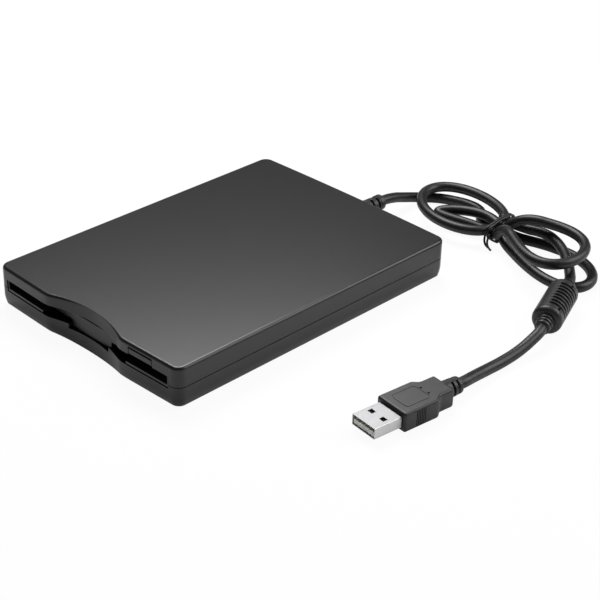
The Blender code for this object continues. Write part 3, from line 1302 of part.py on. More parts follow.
def make_stepper_bracket():
    left = SCREW_X - THREAD_DIAMETER / 2 - BRACKET_MARGIN
    right = -(CARRIAGE_LEFT + SEAT_GAP)
    top = SCREW_Z + THREAD_DIAMETER / 2 + BRACKET_MARGIN / 2
    base = block(
        "stepper_bracket", (left, Y_SCREW - BRACKET_SHEET, Z_BOARD),
        (right, Y_BRACKET_BACK + BRACKET_SHEET, Z_BOARD + BRACKET_SHEET), STEEL,
    )
    for index, y in enumerate((Y_SCREW - BRACKET_SHEET, Y_BRACKET_BACK)):
        join(base, block(f"bracket_upright_{index}", (left, y, Z_BOARD), (right, y + BRACKET_SHEET, top)))
    bore = rod(
        "bracket_bore", (SCREW_X, Y_SCREW - BRACKET_SHEET - OVERRUN, SCREW_Z),
        Y_BRACKET_BACK - Y_SCREW + 2 * BRACKET_SHEET + 2 * OVERRUN, LEAD_SCREW_DIAMETER + 2 * PIN_FIT, "Y",
        sides=8,
    )
    return cut(base, bore)


def strip(name, path, thickness, left, right, finish):
    """A thin ribbon that follows a path of (y, z) points."""
    upper, lower = [], []
    for index, point in enumerate(path):
        before, after = path[max(index - 1, 0)], path[min(index + 1, len(path) - 1)]
        heading = math.atan2(after[1] - before[1], after[0] - before[0])
        shift = (-math.sin(heading) * thickness / 2, math.cos(heading) * thickness / 2)
        upper.append((point[0] + shift[0], point[1] + shift[1]))
        lower.append((point[0] - shift[0], point[1] - shift[1]))
    return flat(name, [upper + lower[::-1]], left, right, finish, "X")


def hump(first, second, rise, steps=6):
    """A path between two (y, z) points that rises between them."""
    shares = [step / steps for step in range(steps + 1)]
    return [
        (first[0] + (second[0] - first[0]) * s, first[1] + (second[1] - first[1]) * s + rise * math.sin(math.pi * s))
        for s in shares
    ]


def make_head_flex():
    start = (Y_CARRIAGE_BACK + SEAT_GAP, Z_CARRIAGE + CARRIAGE_HEIGHT / 2)
    end = (start[0] + FLEX_LENGTH, Z_BOARD + FLEX_THICKNESS)
    middle = (CARRIAGE_RIGHT - CARRIAGE_LEFT) / 2
    return strip(
        "head_flat_lead", hump(start, end, FLEX_RISE), FLEX_THICKNESS, middle - FLEX_HALF_WIDTH,
        middle + FLEX_HALF_WIDTH, AMBER,
    )


# Shutter lever
def make_lever():
    turn = math.radians(LEVER_REST_DEGREES)
    tip = (LEVER_PIVOT_X + LEVER_LENGTH * math.cos(turn), Y_LEVER + LEVER_LENGTH * math.sin(turn))
    pivot = (LEVER_PIVOT_X, Y_LEVER)
    side = Vector((-math.sin(turn), math.cos(turn))) * LEVER_WIDTH
    heading = math.degrees(turn)
    outline = arc(pivot, LEVER_WIDTH * 3 / 4, heading + 60.0, heading + 300.0, 8)
    outline += arc(tip, LEVER_WIDTH * 3 / 8, heading - 90.0, heading + 90.0, 4)
    hole = circle(pivot, LEVER_PIN_DIAMETER + 2 * PIN_FIT)
    return flat("shutter_lever", [outline, hole], Z_LEVER, Z_LEVER + LEVER_THICKNESS, BRIGHT)


# Sensing switches
def switch_places():
    y = Y_CARRIER + SWITCH_INSET
    return {
        "write_protect_plunger": (SWITCH_X, y),
        "density_plunger": (-SWITCH_X, y),
        "disk_in_plunger": (-SWITCH_X, y + SWITCH_SPACING),
    }


Z_SWITCH_TOP = Z_BOARD + SWITCH_HEIGHT


def make_switches():
    places = list(switch_places().values())
    blocks = {"right_switch": places[:1], "left_switches": places[1:]}
    for name, spots in blocks.items():
        x = spots[0][0]
        low = (x - SWITCH_WIDTH / 2, min(y for _, y in spots) - SWITCH_LENGTH / 2, Z_BOARD)
        high = (x + SWITCH_WIDTH / 2, max(y for _, y in spots) + SWITCH_LENGTH / 2, Z_SWITCH_TOP)
        body = block(name, low, high, CHIP)
        for _, y in spots:
            bore_base = (x, y, Z_BOARD + SEAT_GAP)
            bore = rod(f"bore_{y:.3f}", bore_base, SWITCH_HEIGHT + OVERRUN, PLUNGER_DIAMETER + 2 * PIN_FIT, sides=10)
            cut(body, bore)
    for name, (x, y) in switch_places().items():
        base = (0, 0, -PLUNGER_SUNK)
        plunger = rod(name, base, PLUNGER_SUNK + PLUNGER_PROUD, PLUNGER_DIAMETER, finish=PALE, sides=10)
        plunger.parent = carrier(f"{name}_axis", (x, y, Z_SWITCH_TOP))


# Boards and leads
CONTROL_RIGHT = CHASSIS_INNER - CONTROL_RIGHT_GAP
Y_CONTROL_BACK = Y_CHASSIS_BACK - CONTROL_BACK_GAP
FLAT_CABLE_X = CONTROL_LEFT + FLAT_CABLE_WIDTH / 2
Z_BRIDGE = Z_FLOOR + BRIDGE_POST_HEIGHT + SEAT_GAP
Z_BRIDGE_TOP = Z_BRIDGE + BOARD_THICKNESS
Y_HEADER = Y_BRIDGE_BACK - HEADER_DEPTH


def make_control_board():
    outline = rectangle(CONTROL_LEFT, Y_CONTROL_BACK - CONTROL_LENGTH, CONTROL_RIGHT, Y_CONTROL_BACK)
    holes = [circle((LEVER_PIVOT_X, Y_LEVER), LEVER_PIN_DIAMETER + 2 * SEAT_GAP)]
    board = flat("control_board", [outline, *holes], Z_BOARD, Z_BOARD_TOP, BOARD)
    for index, (x, y) in enumerate(plate_screw_places()):
        base = (x, y, Z_DECK)
        room = PLATE_BOSS_DIAMETER + 2 * SEAT_GAP
        if x > 0:
            cut(board, rod(f"boss_room_{index}", base, BOARD_THICKNESS + OVERRUN, room, sides=SMALL_SIDES))
    return board


def chip(name, centre, size, level, finish=CHIP, depth=None, height=CHIP_HEIGHT):
    deep = size if depth is None else depth
    low = (centre[0] - size / 2, centre[1] - deep / 2, level + SEAT_GAP)
    return block(name, low, (centre[0] + size / 2, centre[1] + deep / 2, level + SEAT_GAP + height), finish)


def make_drive_chip():
    middle = (CONTROL_LEFT + LEVER_PIVOT_X) / 2
    return chip("drive_chip", (middle + CHIP_SMALL / 2, Y_CONTROL_BACK - CHIP_LARGE), CHIP_LARGE, Z_BOARD_TOP)


def make_bridge_board():
    left = BRIDGE_CENTRE_X - BRIDGE_LENGTH / 2
    outline = rectangle(left, Y_BRIDGE, left + BRIDGE_LENGTH, Y_BRIDGE_BACK)
    return flat("usb_bridge_board", [outline], Z_BRIDGE, Z_BRIDGE_TOP, BOARD)


def make_bridge_parts():
    y = (Y_BRIDGE + Y_BRIDGE_BACK) / 2
    x = -(HEADER_WIDTH / 2 + CHIP_SMALL)
    chip("bridge_chip", (x, y), CHIP_SMALL, Z_BRIDGE_TOP, depth=BRIDGE_DEPTH - 2 * SEAT_GAP)
    block(
        "cable_header", (-HEADER_WIDTH / 2, Y_HEADER, Z_BRIDGE_TOP + SEAT_GAP),
        (HEADER_WIDTH / 2, Y_BRIDGE_BACK, Z_BRIDGE_TOP + SEAT_GAP + HEADER_HEIGHT), PALE,
    )


def make_flat_cable():
    start = (Y_CONTROL_BACK + SEAT_GAP, Z_BOARD_TOP)
    end = (Y_BRIDGE - SEAT_GAP, Z_BRIDGE_TOP - BOARD_THICKNESS / 2)
    left = FLAT_CABLE_X - FLAT_CABLE_WIDTH / 2
    path = hump(start, end, FLAT_CABLE_RISE)
    return strip("flat_cable", path, FLAT_CABLE_THICKNESS, left, left + FLAT_CABLE_WIDTH, PALE)


# Cord pieces
def grooved(length, root, tip, groove_shares, groove_width, groove_depth):
    """Outline of a tapering boot, from its root at height 0 to its tip, with ring grooves."""
    def radius(level):
        return (root + (tip - root) * level / length) / 2

    points = [(radius(0), 0)]
    for share in groove_shares:
        start, end = share * length - groove_width / 2, share * length + groove_width / 2
        points += [(radius(start), start), (radius(start) - groove_depth, start)]
        points += [(radius(end) - groove_depth, end), (radius(end), end)]
    return points + [(radius(length), length)]


def make_strain_relief():
    """One moulding: a flange inside the wall, a neck in the hole and a grooved boot outside."""
    neck, flange = BOOT_NECK_DIAMETER / 2, BOOT_FLANGE_DIAMETER / 2
    inner_wall = Y_BACK_WALL - WALL - SEAT_GAP
    start = inner_wall - BOOT_FLANGE_THICKNESS
    root = Y_BACK_WALL + SEAT_GAP - start
    boot = grooved(
        BOOT_LENGTH, BOOT_ROOT_DIAMETER, BOOT_TIP_DIAMETER, BOOT_GROOVE_SHARES, BOOT_GROOVE_WIDTH,
        BOOT_GROOVE_DEPTH,
    )
    outline = [(0, 0), (flange, 0), (flange, BOOT_FLANGE_THICKNESS), (neck, BOOT_FLANGE_THICKNESS), (neck, root)]
    outline += [(radius, root + level) for radius, level in boot] + [(0, root + BOOT_LENGTH)]
    facing = Matrix(((1, 0, 0, 0), (0, 0, 1, 0), (0, -1, 0, 0), (0, 0, 0, 1)))
    place = Matrix.Translation((0, start, BOOT_AXIS_HEIGHT)) @ facing
    return turned("strain_relief", outline[::-1], place, RUBBER, 16)


def smooth_route(points, spacing):
    """A smooth curve through hand-chosen points at an even spacing, between two straight ends."""
    places = [Vector(point) for point in points]
    fine = []
    for before, start, end, after in zip(places, places[1:], places[2:], places[3:]):
        for step in range(ROUND_SIDES):
            t = step / ROUND_SIDES
            fine.append(
                0.5 * (2 * start + (end - before) * t + (2 * before - 5 * start + 4 * end - after) * t**2
                       + (3 * start - before - 3 * end + after) * t**3)
            )
    fine.append(places[-2])
    return [places[0], *even(fine, spacing), places[-1]]


def even(fine, spacing):
    """Points at an even spacing along a fine line, ends kept."""
    lengths = [0.0]
    for first, second in zip(fine, fine[1:]):
        lengths.append(lengths[-1] + (second - first).length)
    count = max(2, round(lengths[-1] / spacing))
    result, index = [], 0
    for step in range(count + 1):
        target = lengths[-1] * step / count
        while index < len(fine) - 2 and lengths[index + 1] < target:
            index += 1
        span = lengths[index + 1] - lengths[index]
        result.append(fine[index].lerp(fine[index + 1], (target - lengths[index]) / span))
    return result


def route_length(points):
    return sum((second - first).length for first, second in zip(points, points[1:]))


def loop_points(start, end, side, turn, reach, width, roundness, lean, skew, rise, climb, count):
    """One loop of the hank, from a pass through the waist round to the next."""
    (start_y, start_z), (end_y, end_z) = PASSES[start], PASSES[end]
    shares = [step / count for step in range(count + 1)]
    bulge = [math.sin(math.tau * s) * max(math.sin(math.pi * s), 0.0) ** roundness for s in shares]
    widest = max(bulge)
    points = []
    for s, bulged in zip(shares, bulge):
        out = (1 - math.cos(math.tau * s)) / 2
        ease = s * s * (3 - 2 * s)
        risen = min(1.0, min(s, 1 - s) / climb)
        swell = bulged / widest
        x = side * (WAIST_HALF_LENGTH + reach * out + skew * swell)
        y = start_y + (end_y - start_y) * ease + turn * width / 2 * swell + lean * out * out
        z = start_z + (end_z - start_z) * ease + rise * risen * risen * (3 - 2 * risen)
        points.append(Vector((WAIST_X + x, WAIST_Y + y, z)))
    return points


def hank_route(count=LOOP_POINTS):
    """The whole hank as one line: a straight start, four loops joined at the waist, a straight end."""
    def waist(name, x):
        y, z = PASSES[name]
        return Vector((WAIST_X + x, WAIST_Y + y, z))

    points = [waist("low_far", -WAIST_HALF_LENGTH - CABLE_DIAMETER), waist("low_far", -WAIST_HALF_LENGTH)]
    for loop in HANK_LOOPS:
        points += loop_points(*loop, count)
    points += [waist("high_far", WAIST_HALF_LENGTH), waist("high_far", WAIST_HALF_LENGTH + CABLE_DIAMETER)]
    return points


def least_gap(route, other=None):
    """The least clear distance of a tube to itself, a few diameters along, or to another tube."""
    step = CABLE_DIAMETER / 4
    fine = even(route, step)
    others = fine if other is None else even(other, step)
    apart = round(math.pi * CABLE_DIAMETER / step)
    least = math.inf
    for index, point in enumerate(fine):
        for place in others[index + apart:] if other is None else others[apart // 2:-apart // 2]:
            least = min(least, (point - place).length)
    return least - CABLE_DIAMETER


def make_cable():
    lead = smooth_route(LEAD_POINTS, POINT_SPACING)
    link = smooth_route(LINK_POINTS, POINT_SPACING)
    tail = smooth_route(TAIL_POINTS, POINT_SPACING)
    hank = hank_route()
    tube("cable_lead", lead, CABLE_DIAMETER, RUBBER)
    tube("cable_hank", hank, CABLE_DIAMETER, RUBBER, 1)
    tube("cable_link", link, CABLE_DIAMETER, RUBBER)
    tube("cable_tail", tail, CABLE_DIAMETER, RUBBER)
    smooth_hank = hank_route(4 * LOOP_POINTS)
    print(f"hank: least gap to itself {least_gap(smooth_hank):.5f}, wanted over {LEAST_HANK_GAP}")
    print(f"hank to lead {least_gap(smooth_hank, lead):.5f}, hank to link {least_gap(smooth_hank, link):.5f}")
    lengths = [route_length(route) for route in (lead, smooth_hank, link, tail)]
    print("lengths: lead {:.4f}, hank {:.4f}, link {:.4f}, tail {:.4f}".format(*lengths))
    print(f"whole cable {sum(lengths) + (Vector(FERRITE_NEAR_END) - Vector(FERRITE_FAR_END)).length:.4f}")


def make_tie():
    """A wire wound twice round the waist, hugging the five passes, with its two ends laid out near."""
    offset = CABLE_DIAMETER / 2 + TIE_DIAMETER / 2 + SEAT_GAP
    pitch = TIE_DIAMETER + SEAT_GAP
    points = []
    total = TIE_TURNS * TIE_TURN_POINTS
    for step in range(total + 1):
        turn = math.tau * step / TIE_TURN_POINTS + math.pi
        outward = (math.cos(turn), -math.sin(turn))
        centre = max(PASSES.values(), key=lambda place: place[0] * outward[0] + place[1] * outward[1])
        y, z = centre[0] + offset * outward[0], centre[1] + offset * outward[1]
        x = pitch * TIE_TURNS * (step / total - 0.5)
        points.append((WAIST_X + x, WAIST_Y + y, z))
    first, last = points[0], points[-1]
    tails = []
    for place, side in ((first, -1), (last, 1)):
        tails.append([
            (place[0] + side * share * TIE_TAIL_LENGTH / 3, place[1] - share * TIE_TAIL_LENGTH,
             place[2] + (TIE_DIAMETER - place[2]) * share)
            for share in (0.25, 0.5, 0.75, 1.0)
        ])
    return tube("hank_tie", tails[0][::-1] + points + tails[1], TIE_DIAMETER, RUBBER, 1)


def ferrite_place():
    """The frame of the ferrite: local Z runs from its near end to its far end."""
    near, far = Vector(FERRITE_NEAR_END), Vector(FERRITE_FAR_END)
    axis = (far - near).normalized()
    return Matrix.Translation(near) @ axis.to_track_quat("Z", "Y").to_matrix().to_4x4(), (far - near).length


def make_ferrite():
    place, length = ferrite_place()
    body, bore = FERRITE_DIAMETER / 2, CORE_BORE / 2
    collar = FERRITE_COLLAR_DIAMETER / 2
    outline = grooved(
        FERRITE_COLLAR_LENGTH, FERRITE_COLLAR_DIAMETER, FERRITE_COLLAR_TIP_DIAMETER, FERRITE_GROOVE_SHARES,
        FERRITE_GROOVE_WIDTH, FERRITE_GROOVE_DEPTH,
    )
    start = length - FERRITE_COLLAR_LENGTH
    shoulder = []
    for step in range(FILLET_STEPS + 1):
        turn = math.radians(90.0 * step / FILLET_STEPS)
        inset = FERRITE_ROUNDING * (1 - math.sin(turn))
        shoulder.append((body - inset, start - FERRITE_ROUNDING * (1 - math.cos(turn))))
    upper = [(radius, start + level) for radius, level in outline][::-1] + shoulder
    lower = [(radius, length - level) for radius, level in upper][::-1]
    room = CORE_DIAMETER / 2 + SEAT_GAP
    room_low = (length - CORE_LENGTH) / 2 - SEAT_GAP
    inside = [(bore, 0), (bore, room_low), (room, room_low), (room, length - room_low), (bore, length - room_low)]
    profile = upper + lower + inside + [(bore, length)]
    cover = turned("ferrite_cover", profile, place, SOFT_BLACK, 16, ring=True)
    core_low = (length - CORE_LENGTH) / 2
    outer = CORE_DIAMETER / 2
    ring = [(bore, core_low), (bore, core_low + CORE_LENGTH), (outer, core_low + CORE_LENGTH), (outer, core_low)]
    core = turned("ferrite_core", ring, place, FERRITE, 16, ring=True)
    return cover, core, collar


def make_plug():
    frame = carrier("plug_frame", PLUG_ROOT, (0, 0, math.radians(PLUG_TURN_DEGREES)))
    middle = PLUG_AXIS_HEIGHT
    grip = block(
        "plug_overmould", (-GRIP_WIDTH / 2, 0, middle - GRIP_HEIGHT / 2),
        (GRIP_WIDTH / 2, GRIP_LENGTH, middle + GRIP_HEIGHT / 2), SOFT_BLACK,
    )
    bevel(grip, GRIP_ROUNDING, 2)
    neck = block(
        "plug_neck", (-NECK_WIDTH / 2, GRIP_LENGTH - GRIP_ROUNDING, middle - NECK_HEIGHT / 2),
        (NECK_WIDTH / 2, GRIP_LENGTH + NECK_LENGTH, middle + NECK_HEIGHT / 2),
    )
    bevel(neck, NECK_ROUNDING, 2, "Y")
    outline = grooved(
        PLUG_BOOT_LENGTH, PLUG_BOOT_ROOT_DIAMETER, PLUG_BOOT_TIP_DIAMETER, PLUG_BOOT_GROOVE_SHARES,
        BOOT_GROOVE_WIDTH, BOOT_GROOVE_DEPTH,
    )
    profile = [(0, PLUG_BOOT_LENGTH), *outline[::-1]]
    profile += [(PLUG_BOOT_ROOT_DIAMETER / 2, -NECK_ROUNDING), (0, -NECK_ROUNDING)]
    facing = Matrix(((1, 0, 0, 0), (0, 0, 1, 0), (0, -1, 0, 0), (0, 0, 0, 1)))
    place = Matrix.Translation((0, GRIP_LENGTH + NECK_LENGTH, middle)) @ facing
    boot = turned("plug_boot", profile, place, steps=16)
    join(grip, neck, boot)
    root = -SEAT_GAP
    low = middle - SHELL_HEIGHT / 2
    shell = block(
        "plug_shell", (-SHELL_WIDTH / 2, root - SHELL_LENGTH, low), (SHELL_WIDTH / 2, root, low + SHELL_HEIGHT), BRIGHT
    )
    bevel(shell, SHELL_SHEET, 1, "Y")
    back = root - SHELL_SHEET
    hollow = block(
        "shell_hollow", (SHELL_SHEET - SHELL_WIDTH / 2, root - SHELL_LENGTH - OVERRUN, low + SHELL_SHEET),
        (SHELL_WIDTH / 2 - SHELL_SHEET, back, low + SHELL_HEIGHT - SHELL_SHEET),
    )
    cut(shell, hollow)
    cutters = [hollow]
    for side in (-1, 1):
        x = side * SHELL_WINDOW_SPACING / 2
        y = root - SHELL_WINDOW_FROM_ROOT
        window = block(
            f"shell_window_{side}",
            (x - SHELL_WINDOW_WIDTH / 2, y - SHELL_WINDOW_LENGTH, low + SHELL_HEIGHT / 2),
            (x + SHELL_WINDOW_WIDTH / 2, y, low + SHELL_HEIGHT + OVERRUN),
        )
        cut(shell, window)
        cutters.append(window)
    tongue_half = SHELL_WIDTH / 2 - SHELL_SHEET - SEAT_GAP
    tongue_low = low + SHELL_SHEET + SEAT_GAP
    tongue_front = root - SHELL_LENGTH + TONGUE_SETBACK
    tongue = block(
        "plug_tongue", (-tongue_half, tongue_front, tongue_low),
        (tongue_half, back - SEAT_GAP, tongue_low + TONGUE_THICKNESS), PALE,
    )
    level = tongue_low + TONGUE_THICKNESS + SEAT_GAP
    start = tongue_front + TONGUE_SETBACK
    end = start + CONTACT_LENGTH
    reach = (CONTACT_COUNT - 1) * CONTACT_PITCH / 2 + CONTACT_WIDTH / 2
    for index in range(CONTACT_COUNT - 1):
        x = (index + 0.5 - (CONTACT_COUNT - 1) / 2) * CONTACT_PITCH
        space = (CONTACT_PITCH - CONTACT_WIDTH) / 2
        cutters.append(block(
            f"contact_space_{index}", (x - space, start - OVERRUN, level - OVERRUN),
            (x + space, end - CONTACT_WIDTH, level + OVERRUN),
        ))
    strips = block("plug_contacts", (-reach, start, level), (reach, end, level + CONTACT_THICKNESS), BRASS)
    cut(strips, *cutters[-CONTACT_COUNT + 1:])
    for piece in (grip, neck, boot, shell, *cutters, tongue, strips):
        piece.parent = frame


# Assembly
make_top_cover()
make_bottom_case()
make_front_bezel()
hang(carrier("dust_door_hinge", (0, Y_HINGE, Z_HINGE)), make_dust_door())
make_door_spring()
make_feet()
make_case_screws()
make_chassis()
make_top_plate()
make_plate_screws()
hang(carrier("eject_slide", (BUTTON_LEFT, Y_FRONT, Z_SLIDER)), make_eject_button(), make_slider())
hang(carrier("carrier_lift", (0, Y_CARRIER, Z_BAY)), make_carrier())
make_slider_spring()
make_motor_board()
make_coils()
make_bearing()
hang(carrier("spindle_axis", (0, Y_SPINDLE, Z_BOARD)), make_rotor())
carriage_slide = carrier("carriage_slide", (ROD_X, Y_CARRIAGE, ROD_Z))
hang(carriage_slide, make_carriage(), make_lower_head())
arm_turn = (math.radians(-UPPER_ARM_REST_DEGREES), 0, 0)
make_upper_arm(carrier("upper_arm_hinge", (0, Y_ARM_HINGE, Z_ARM_HINGE), arm_turn))
make_guide_rod()
make_rod_bracket()
hang(carrier("lead_screw_axis", (SCREW_X, Y_SCREW, SCREW_Z)), make_lead_screw())
make_stepper()
make_stepper_bracket()
make_head_flex()
hang(carrier("lever_axis", (LEVER_PIVOT_X, Y_LEVER, Z_LEVER)), make_lever())
make_switches()
make_control_board()
make_drive_chip()
make_bridge_board()
make_bridge_parts()
make_flat_cable()
make_strain_relief()
make_cable()
make_tie()
make_ferrite()
make_plug()
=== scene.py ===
import json
import math

import bpy
from mathutils import Matrix, Vector


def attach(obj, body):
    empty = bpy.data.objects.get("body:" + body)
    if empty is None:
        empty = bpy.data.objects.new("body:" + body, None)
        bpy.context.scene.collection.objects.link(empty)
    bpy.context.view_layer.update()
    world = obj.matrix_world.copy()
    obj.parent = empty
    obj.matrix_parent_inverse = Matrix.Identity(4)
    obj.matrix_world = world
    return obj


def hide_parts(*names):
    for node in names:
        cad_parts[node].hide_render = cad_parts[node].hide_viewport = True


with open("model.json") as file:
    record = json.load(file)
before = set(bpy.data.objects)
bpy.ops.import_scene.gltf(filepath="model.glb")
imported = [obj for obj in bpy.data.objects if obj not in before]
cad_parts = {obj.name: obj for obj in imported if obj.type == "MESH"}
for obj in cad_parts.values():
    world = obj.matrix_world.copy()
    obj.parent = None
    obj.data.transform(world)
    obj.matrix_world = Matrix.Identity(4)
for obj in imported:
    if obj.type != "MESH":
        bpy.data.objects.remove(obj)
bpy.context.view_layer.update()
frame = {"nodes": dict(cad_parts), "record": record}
NODES = frame["nodes"]
CASE = "case"

# Sizes that the source shares with this scene
SEAT_GAP = 0.0003
OVERRUN = 0.0020
STANDOFF = 0.0005
WALL = 0.0013
FRONT_BOW = 0.0011
BACK_BOW = 0.0008
CORNER_RADIUS = 0.0040
TOP_FILLET = 0.0012
SCOOP_HALF_WIDTH = 0.0206
SCOOP_DEPTH_LOW = 0.0030
SCOOP_DEPTH_HIGH = 0.0055
FOOT_INSET = 0.0014
INNER_FOOT_INSET = 0.0007
TAPER_HEIGHT = 0.0040
CASE_HALF = 0.0515
SLOT_HALF_WIDTH = 0.0465
Y_FRONT = -0.070938
Y_BACK = 0.071062
Y_DOOR = -0.067538
Y_CHASSIS = -0.062038
Z_FLOOR = 0.0020
Z_PARTING = 0.00865
Z_COVER_RIM = 0.00895
Z_CEILING = 0.0157
Z_TOP = 0.0170
Z_FRONT_WALL = 0.00735
Z_LIP = 0.01235
Z_HINGE = 0.0129
Y_HINGE = -0.067138
DOOR_THICKNESS = 0.0008
DOOR_SKIN = 0.00045
DOOR_ROOM = 0.0025
DOOR_ROOM_HALF = 0.016162
Z_SLIDER = 0.01335
TAB_DROP = 0.0018
TAB_HALF_WIDTH = 0.0112
BUTTON_LEFT = 0.0259
BUTTON_WIDTH = 0.0121
BUTTON_RISE = 0.0004
BUTTON_HEIGHT = 0.0023
BUTTON_DEPTH = 0.0024
BUTTON_STEM_WIDTH = 0.0060
BUTTON_STEM_HEIGHT = 0.0008
BUTTON_STEM_RISE = 0.0003
FOOT_DIAMETER = 0.0080
FOOT_RECESS = 0.0008
FOOT_PLACES = ((-0.042, -0.056438), (0.042, -0.056438), (-0.042, 0.056562), (0.042, 0.056562))
SCREW_DIAMETER = 0.0020
SCREW_HEAD_DIAMETER = 0.0038
SCREW_HEAD_HEIGHT = 0.0008
SCREW_RECESS = 0.0009
REAR_SCREW_PLACES = ((-0.0430, 0.064562), (0.0430, 0.064562))
FRONT_SCREW_PLACES = ((-0.0300, -0.056038), (0.0300, -0.056038))
REAR_SCREW_TOP = 0.01345
FRONT_SCREW_TOP = 0.0031
Y_BACK_WALL = 0.071862
BOOT_AXIS_HEIGHT = 0.0080
BOOT_NECK_DIAMETER = 0.0056
BOOT_FLANGE_DIAMETER = 0.0082
BOOT_FLANGE_THICKNESS = 0.0010
BOOT_ROOT_DIAMETER = 0.0078
BOOT_TIP_DIAMETER = 0.0062
BOOT_LENGTH = 0.0162
BOOT_GROOVE_WIDTH = 0.0009
BOOT_GROOVE_DEPTH = 0.0010
CABLE_DIAMETER = 0.0044
FERRITE_FAR_END = (0.0968, 0.0922, 0.0066)
FERRITE_NEAR_END = (0.1094, 0.0593, 0.0060)
FERRITE_DIAMETER = 0.0120
FERRITE_COLLAR_DIAMETER = 0.0070
FERRITE_COLLAR_TIP_DIAMETER = 0.0060
FERRITE_COLLAR_LENGTH = 0.0050
FERRITE_ROUNDING = 0.0020
FERRITE_GROOVE_WIDTH = 0.0007
FERRITE_GROOVE_DEPTH = 0.0007
FERRITE_GROOVE_SHARES = (0.30, 0.65)
PLUG_ROOT = (0.10702, -0.02254, 0.0)
PLUG_TURN_DEGREES = -6.78
PLUG_AXIS_HEIGHT = 0.0040
SHELL_WIDTH = 0.0120
SHELL_HEIGHT = 0.0045
SHELL_LENGTH = 0.0120
SHELL_SHEET = 0.0003
SHELL_WINDOW_WIDTH = 0.0024
SHELL_WINDOW_LENGTH = 0.0020
SHELL_WINDOW_SPACING = 0.0061
SHELL_WINDOW_FROM_ROOT = 0.0048
GRIP_WIDTH = 0.0150
GRIP_HEIGHT = 0.0078
GRIP_LENGTH = 0.0183
GRIP_ROUNDING = 0.0011
NECK_LENGTH = 0.00655
NECK_ROUNDING = 0.0012
PLUG_BOOT_LENGTH = 0.0070
PLUG_BOOT_ROOT_DIAMETER = 0.0072
PLUG_BOOT_TIP_DIAMETER = 0.0065
PLUG_BOOT_GROOVE_SHARES = (0.36, 0.70)
TIE_DIAMETER = 0.0009
TIE_TURNS = 2
TIE_TAIL_LENGTH = 0.0042

# The cord's route, as the source has it
LEAD_POINTS = (
    (0.0000, 0.0887, 0.0080),
    (0.0000, 0.0915, 0.0080),
    (0.0000, 0.0985, 0.0068),
    (0.0001, 0.1040, 0.0051),
    (0.0009, 0.1100, 0.0034),
    (0.0036, 0.1157, 0.0023),
    (0.0085, 0.1196, 0.0023),
    (0.0145, 0.1223, 0.0023),
    (0.0210, 0.1240, 0.0023),
    (0.0268, 0.1234, 0.0023),
    (0.0306, 0.1205, 0.0023),
    (0.0334, 0.1165, 0.0027),
    (0.0364, 0.1142, 0.0033),
    (0.0385, 0.1140, 0.00345),
)
LINK_POINTS = (
    (0.0583, 0.1167, 0.00755),
    (0.0622, 0.1175, 0.0078),
    (0.0670, 0.1179, 0.0078),
    (0.0716, 0.1168, 0.0076),
    (0.0792, 0.1124, 0.0074),
    (0.0849, 0.1074, 0.0073),
    (0.0906, 0.1015, 0.0071),
    (0.0959, 0.0945, 0.00664),
)
TAIL_POINTS = (
    (0.11030, 0.05697, 0.0059),
    (0.1108, 0.0515, 0.0047),
    (0.1109, 0.0440, 0.0032),
    (0.1107, 0.0350, 0.0025),
    (0.1104, 0.0260, 0.0026),
    (0.1107, 0.0175, 0.0034),
    (0.11108, 0.01157, 0.0040),
    (0.11082, 0.00939, 0.0040),
)
WAIST_X = 0.0481
WAIST_Y = 0.1115
WAIST_HALF_LENGTH = 0.0030
LOW_PASS_HEIGHT = 0.00345
PASSES = {
    "low_far": (0.0025, LOW_PASS_HEIGHT),
    "low_near": (-0.0025, LOW_PASS_HEIGHT),
    "high_middle": (0.0000, 0.00765),
    "high_near": (-0.0065, 0.00650),
    "high_far": (0.0052, 0.00755),
}
# Each loop: passes joined, side (+1 is +X), turn, reach, width, roundness, lean, skew, rise, climb
HANK_LOOPS = (
    ("low_far", "low_near", 1, 1, 0.0465, 0.0195, 1.07, -0.0087, 0.0018, -0.0012, 0.12),
    ("low_near", "high_middle", -1, -1, 0.0240, 0.0054, 1.17, -0.0064, 0.0016, 0.0009, 0.25),
    ("high_middle", "high_near", 1, 1, 0.0420, 0.0239, 1.60, -0.0097, 0.0020, 0.0062, 0.17),
    ("high_near", "high_far", -1, -1, 0.0395, 0.0218, 0.30, 0.0021, -0.0019, 0.00015, 0.25),
)
LOOP_POINTS = 24

# Camera, at the photograph's angle
AZIMUTH = math.radians(44.095)
ELEVATION = math.radians(30.286)
ROLL = math.radians(1.5215)
TARGET = (0.025739, 0.014948, 0.0)
DISTANCE = 0.63140
LENS = 96.923
SENSOR = 36.0

# Fineness of this scene's own meshes
FINE_STEP = 0.0001
FERRITE_STEP = 0.00012
HAIR = 1e-6
TURNED_SHARP_DEGREES = 50.0
CORNER_STEPS = 10
SCOOP_STEPS = 56
SCOOP_REACH = 1.25
SCOOP_SOFTNESS = 0.10
BOW_STEPS = 8
FILLET_STEPS = 8
BUTTON_STEPS = 8
FOOT_STEPS = 6
SCREW_DOME_STEPS = 5
SCREW_SIDES = 40
FERRITE_SIDES = 128
SHELL_CORNER_STEPS = 5
TIE_TURN_STEPS = 36
ROUND_SIDES = 64

# Turns local Z along Y
ALONG_Y = Matrix(((1, 0, 0, 0), (0, 0, 1, 0), (0, -1, 0, 0), (0, 0, 0, 1)))


# Materials
RAMP_ENDS = (0.30, 0.70)


